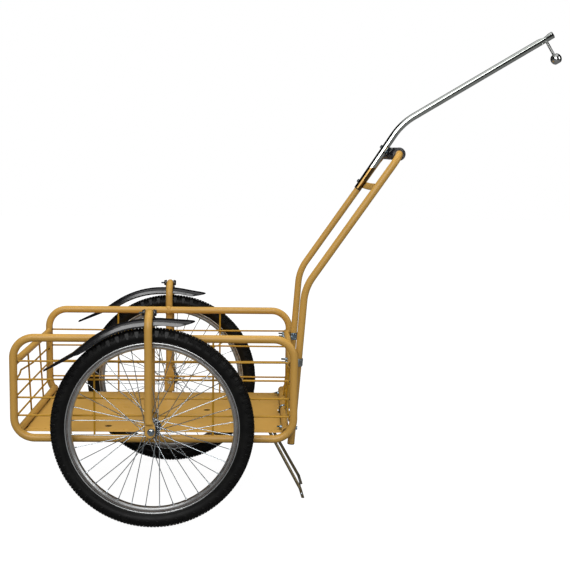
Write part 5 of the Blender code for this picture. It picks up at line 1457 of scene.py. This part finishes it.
FOCAL = 1137.24
IMAGE = 570
SENSOR = 36
CAMERA_AT = Vector((0.308, -3.6791, 1.1433))
CAMERA_YAW, CAMERA_PITCH, CAMERA_ROLL = math.radians(1.393), math.radians(7.014), math.radians(0.6886)
AMBIENT = 0.38
SKY_SHINE = 0.70
FLOOR_SHINE = 0.05
FLOOR_GLOW = 0.96
FLOOR_GREY = 0.14
FLOOR_NEAR, FLOOR_FAR = 1.2, 3.0
WALL_RADIUS = 6.0
WALL_HEIGHT = 10.0
WALL_GREY = 0.03
LAMPS = {
    "key": ((-0.9, -4.2, 3.5), (3.4, 3.0), 148),
    "top": ((0.3, 0.2, 5.0), (2.6, 2.6), 130),
    "front": ((0.3, -5.0, 1.7), (1.6, 1.2), 40),
    "side": ((3.8, -1.6, 2.4), (1.4, 2.2), 25),
}
UNSEEN_LAMPS = ("top",)
LIT_POINT = HOME + Z * 0.6


def camera():
    """A camera where the photograph was taken from. FOCAL is its focal length in pixels."""
    forward = Vector((
        math.sin(CAMERA_YAW) * math.cos(CAMERA_PITCH),
        math.cos(CAMERA_YAW) * math.cos(CAMERA_PITCH),
        -math.sin(CAMERA_PITCH),
    ))
    right = forward.cross(Z).normalized()
    up = right.cross(forward)
    turned_right = right * math.cos(CAMERA_ROLL) + up * math.sin(CAMERA_ROLL)
    turned_up = up * math.cos(CAMERA_ROLL) - right * math.sin(CAMERA_ROLL)
    data = bpy.data.cameras.new("camera")
    data.sensor_width = SENSOR
    data.lens = SENSOR * FOCAL / IMAGE
    data.clip_end = 60
    made = bpy.data.objects.new("camera", data)
    matrix = Matrix((turned_right, turned_up, -forward)).transposed().to_4x4()
    matrix.translation = CAMERA_AT + HOME
    made.matrix_world = matrix
    bpy.context.scene.collection.objects.link(made)
    bpy.context.scene.camera = made


def lamps():
    """Soft lamps that look at the trailer. Gloss shows all of them but the unseen ones."""
    for name, (at, size, power) in LAMPS.items():
        data = bpy.data.lights.new(name, "AREA")
        data.shape = "RECTANGLE"
        data.size, data.size_y = size
        data.energy = power
        made = bpy.data.objects.new(name, data)
        made.visible_glossy = name not in UNSEEN_LAMPS
        made.location = HOME + Vector(at)
        made.rotation_euler = (LIT_POINT - made.location).to_track_quat("-Z", "Y").to_euler()
        bpy.context.scene.collection.objects.link(made)


def world():
    """A white sky that lights the trailer less than it shows."""
    made = bpy.data.worlds.new("studio")
    made.use_nodes = True
    bpy.context.scene.world = made
    tree = Tree(made.node_tree)
    background = made.node_tree.nodes["Background"]
    background.inputs["Color"].default_value = (1, 1, 1, 1)
    tree.join(tree.ramp(tree.shown_rays(SKY_SHINE), 0, 1, AMBIENT, 1), background.inputs["Strength"])


def studio_floor():
    """A pale floor that shows white, apart from the trailer's shadow."""
    surface = bpy.data.materials.new("studio_floor")
    surface.use_nodes = True
    nodes = surface.node_tree.nodes
    nodes.remove(nodes["Principled BSDF"])
    tree = Tree(surface.node_tree)
    diffuse = tree.add("ShaderNodeBsdfDiffuse")
    diffuse.inputs["Color"].default_value = (*grey(FLOOR_GREY), 1)
    away = tree.add("ShaderNodeVectorMath", operation="LENGTH")
    tree.join(tree.add("ShaderNodeTexCoord").outputs["Object"], away.inputs[0])
    reach = tree.ramp(away.outputs["Value"], FLOOR_NEAR, FLOOR_FAR, FLOOR_GLOW, 1)
    glow = tree.add("ShaderNodeEmission")
    tree.join(tree.calculate("MULTIPLY", tree.shown_rays(FLOOR_SHINE), reach), glow.inputs["Strength"])
    both = tree.add("ShaderNodeAddShader")
    tree.join(diffuse.outputs[0], both.inputs[0])
    tree.join(glow.outputs[0], both.inputs[1])
    tree.join(both.outputs[0], nodes["Material Output"].inputs["Surface"])
    bm = bmesh.new()
    bmesh.ops.create_grid(bm, x_segments=1, y_segments=1, size=14)
    made = shape("studio_floor", bm, surface)


def dark_walls():
    """Dark cloth round the studio, out of the picture, which only the gloss on the trailer shows."""
    cloth = Finish("dark_cloth", 1.0)
    cloth.shader.inputs["Base Color"].default_value = (*grey(WALL_GREY), 1)
    cloth.shine(0.0)
    bm = bmesh.new()
    bmesh.ops.create_cone(
        bm, cap_ends=False, segments=64, radius1=WALL_RADIUS, radius2=WALL_RADIUS, depth=WALL_HEIGHT
    )
    made = shape("dark_walls", bm, cloth.material, HOME + Z * WALL_HEIGHT / 2)
    for ray in ("camera", "diffuse", "transmission", "volume_scatter", "shadow"):
        setattr(made, f"visible_{ray}", False)


def studio():
    """The camera, the light and the floor."""
    camera()
    world()
    studio_floor()
    dark_walls()
    lamps()
    bpy.context.scene.view_settings.view_transform = "Standard"


def main():
    studio()
    side_frames()
    cross_tubes()
    side_meshes()
    end_meshes()
    floor_sheet()
    floor_collars()
    floor_welds()
    for side, sign in SIDES.items():
        centre = Vector((0, sign * WHEEL_Y, AXLE_Z))
        spin = f"{side}_wheel"
        wheel_hoop(side, sign, centre)
        mudguard(side, centre)
        tyre(side, spin, centre)
        rim(side, spin, centre)
        spokes(side, spin, centre)
        hub(side, spin, centre)
        axle_set(side, sign, centre)
        strap(side, sign)
        grip(side, sign)
        repaint(f"{side}_inner_tube", TUBE)
        repaint(f"{side}_outer_bearing_cone", HUB_STEEL)
        repaint(f"{side}_inner_bearing_cone", HUB_STEEL)
    handle()
    strip()
    spacer()
    drawbar()
    hitch()
    stand()
    finish_bracket()


main()
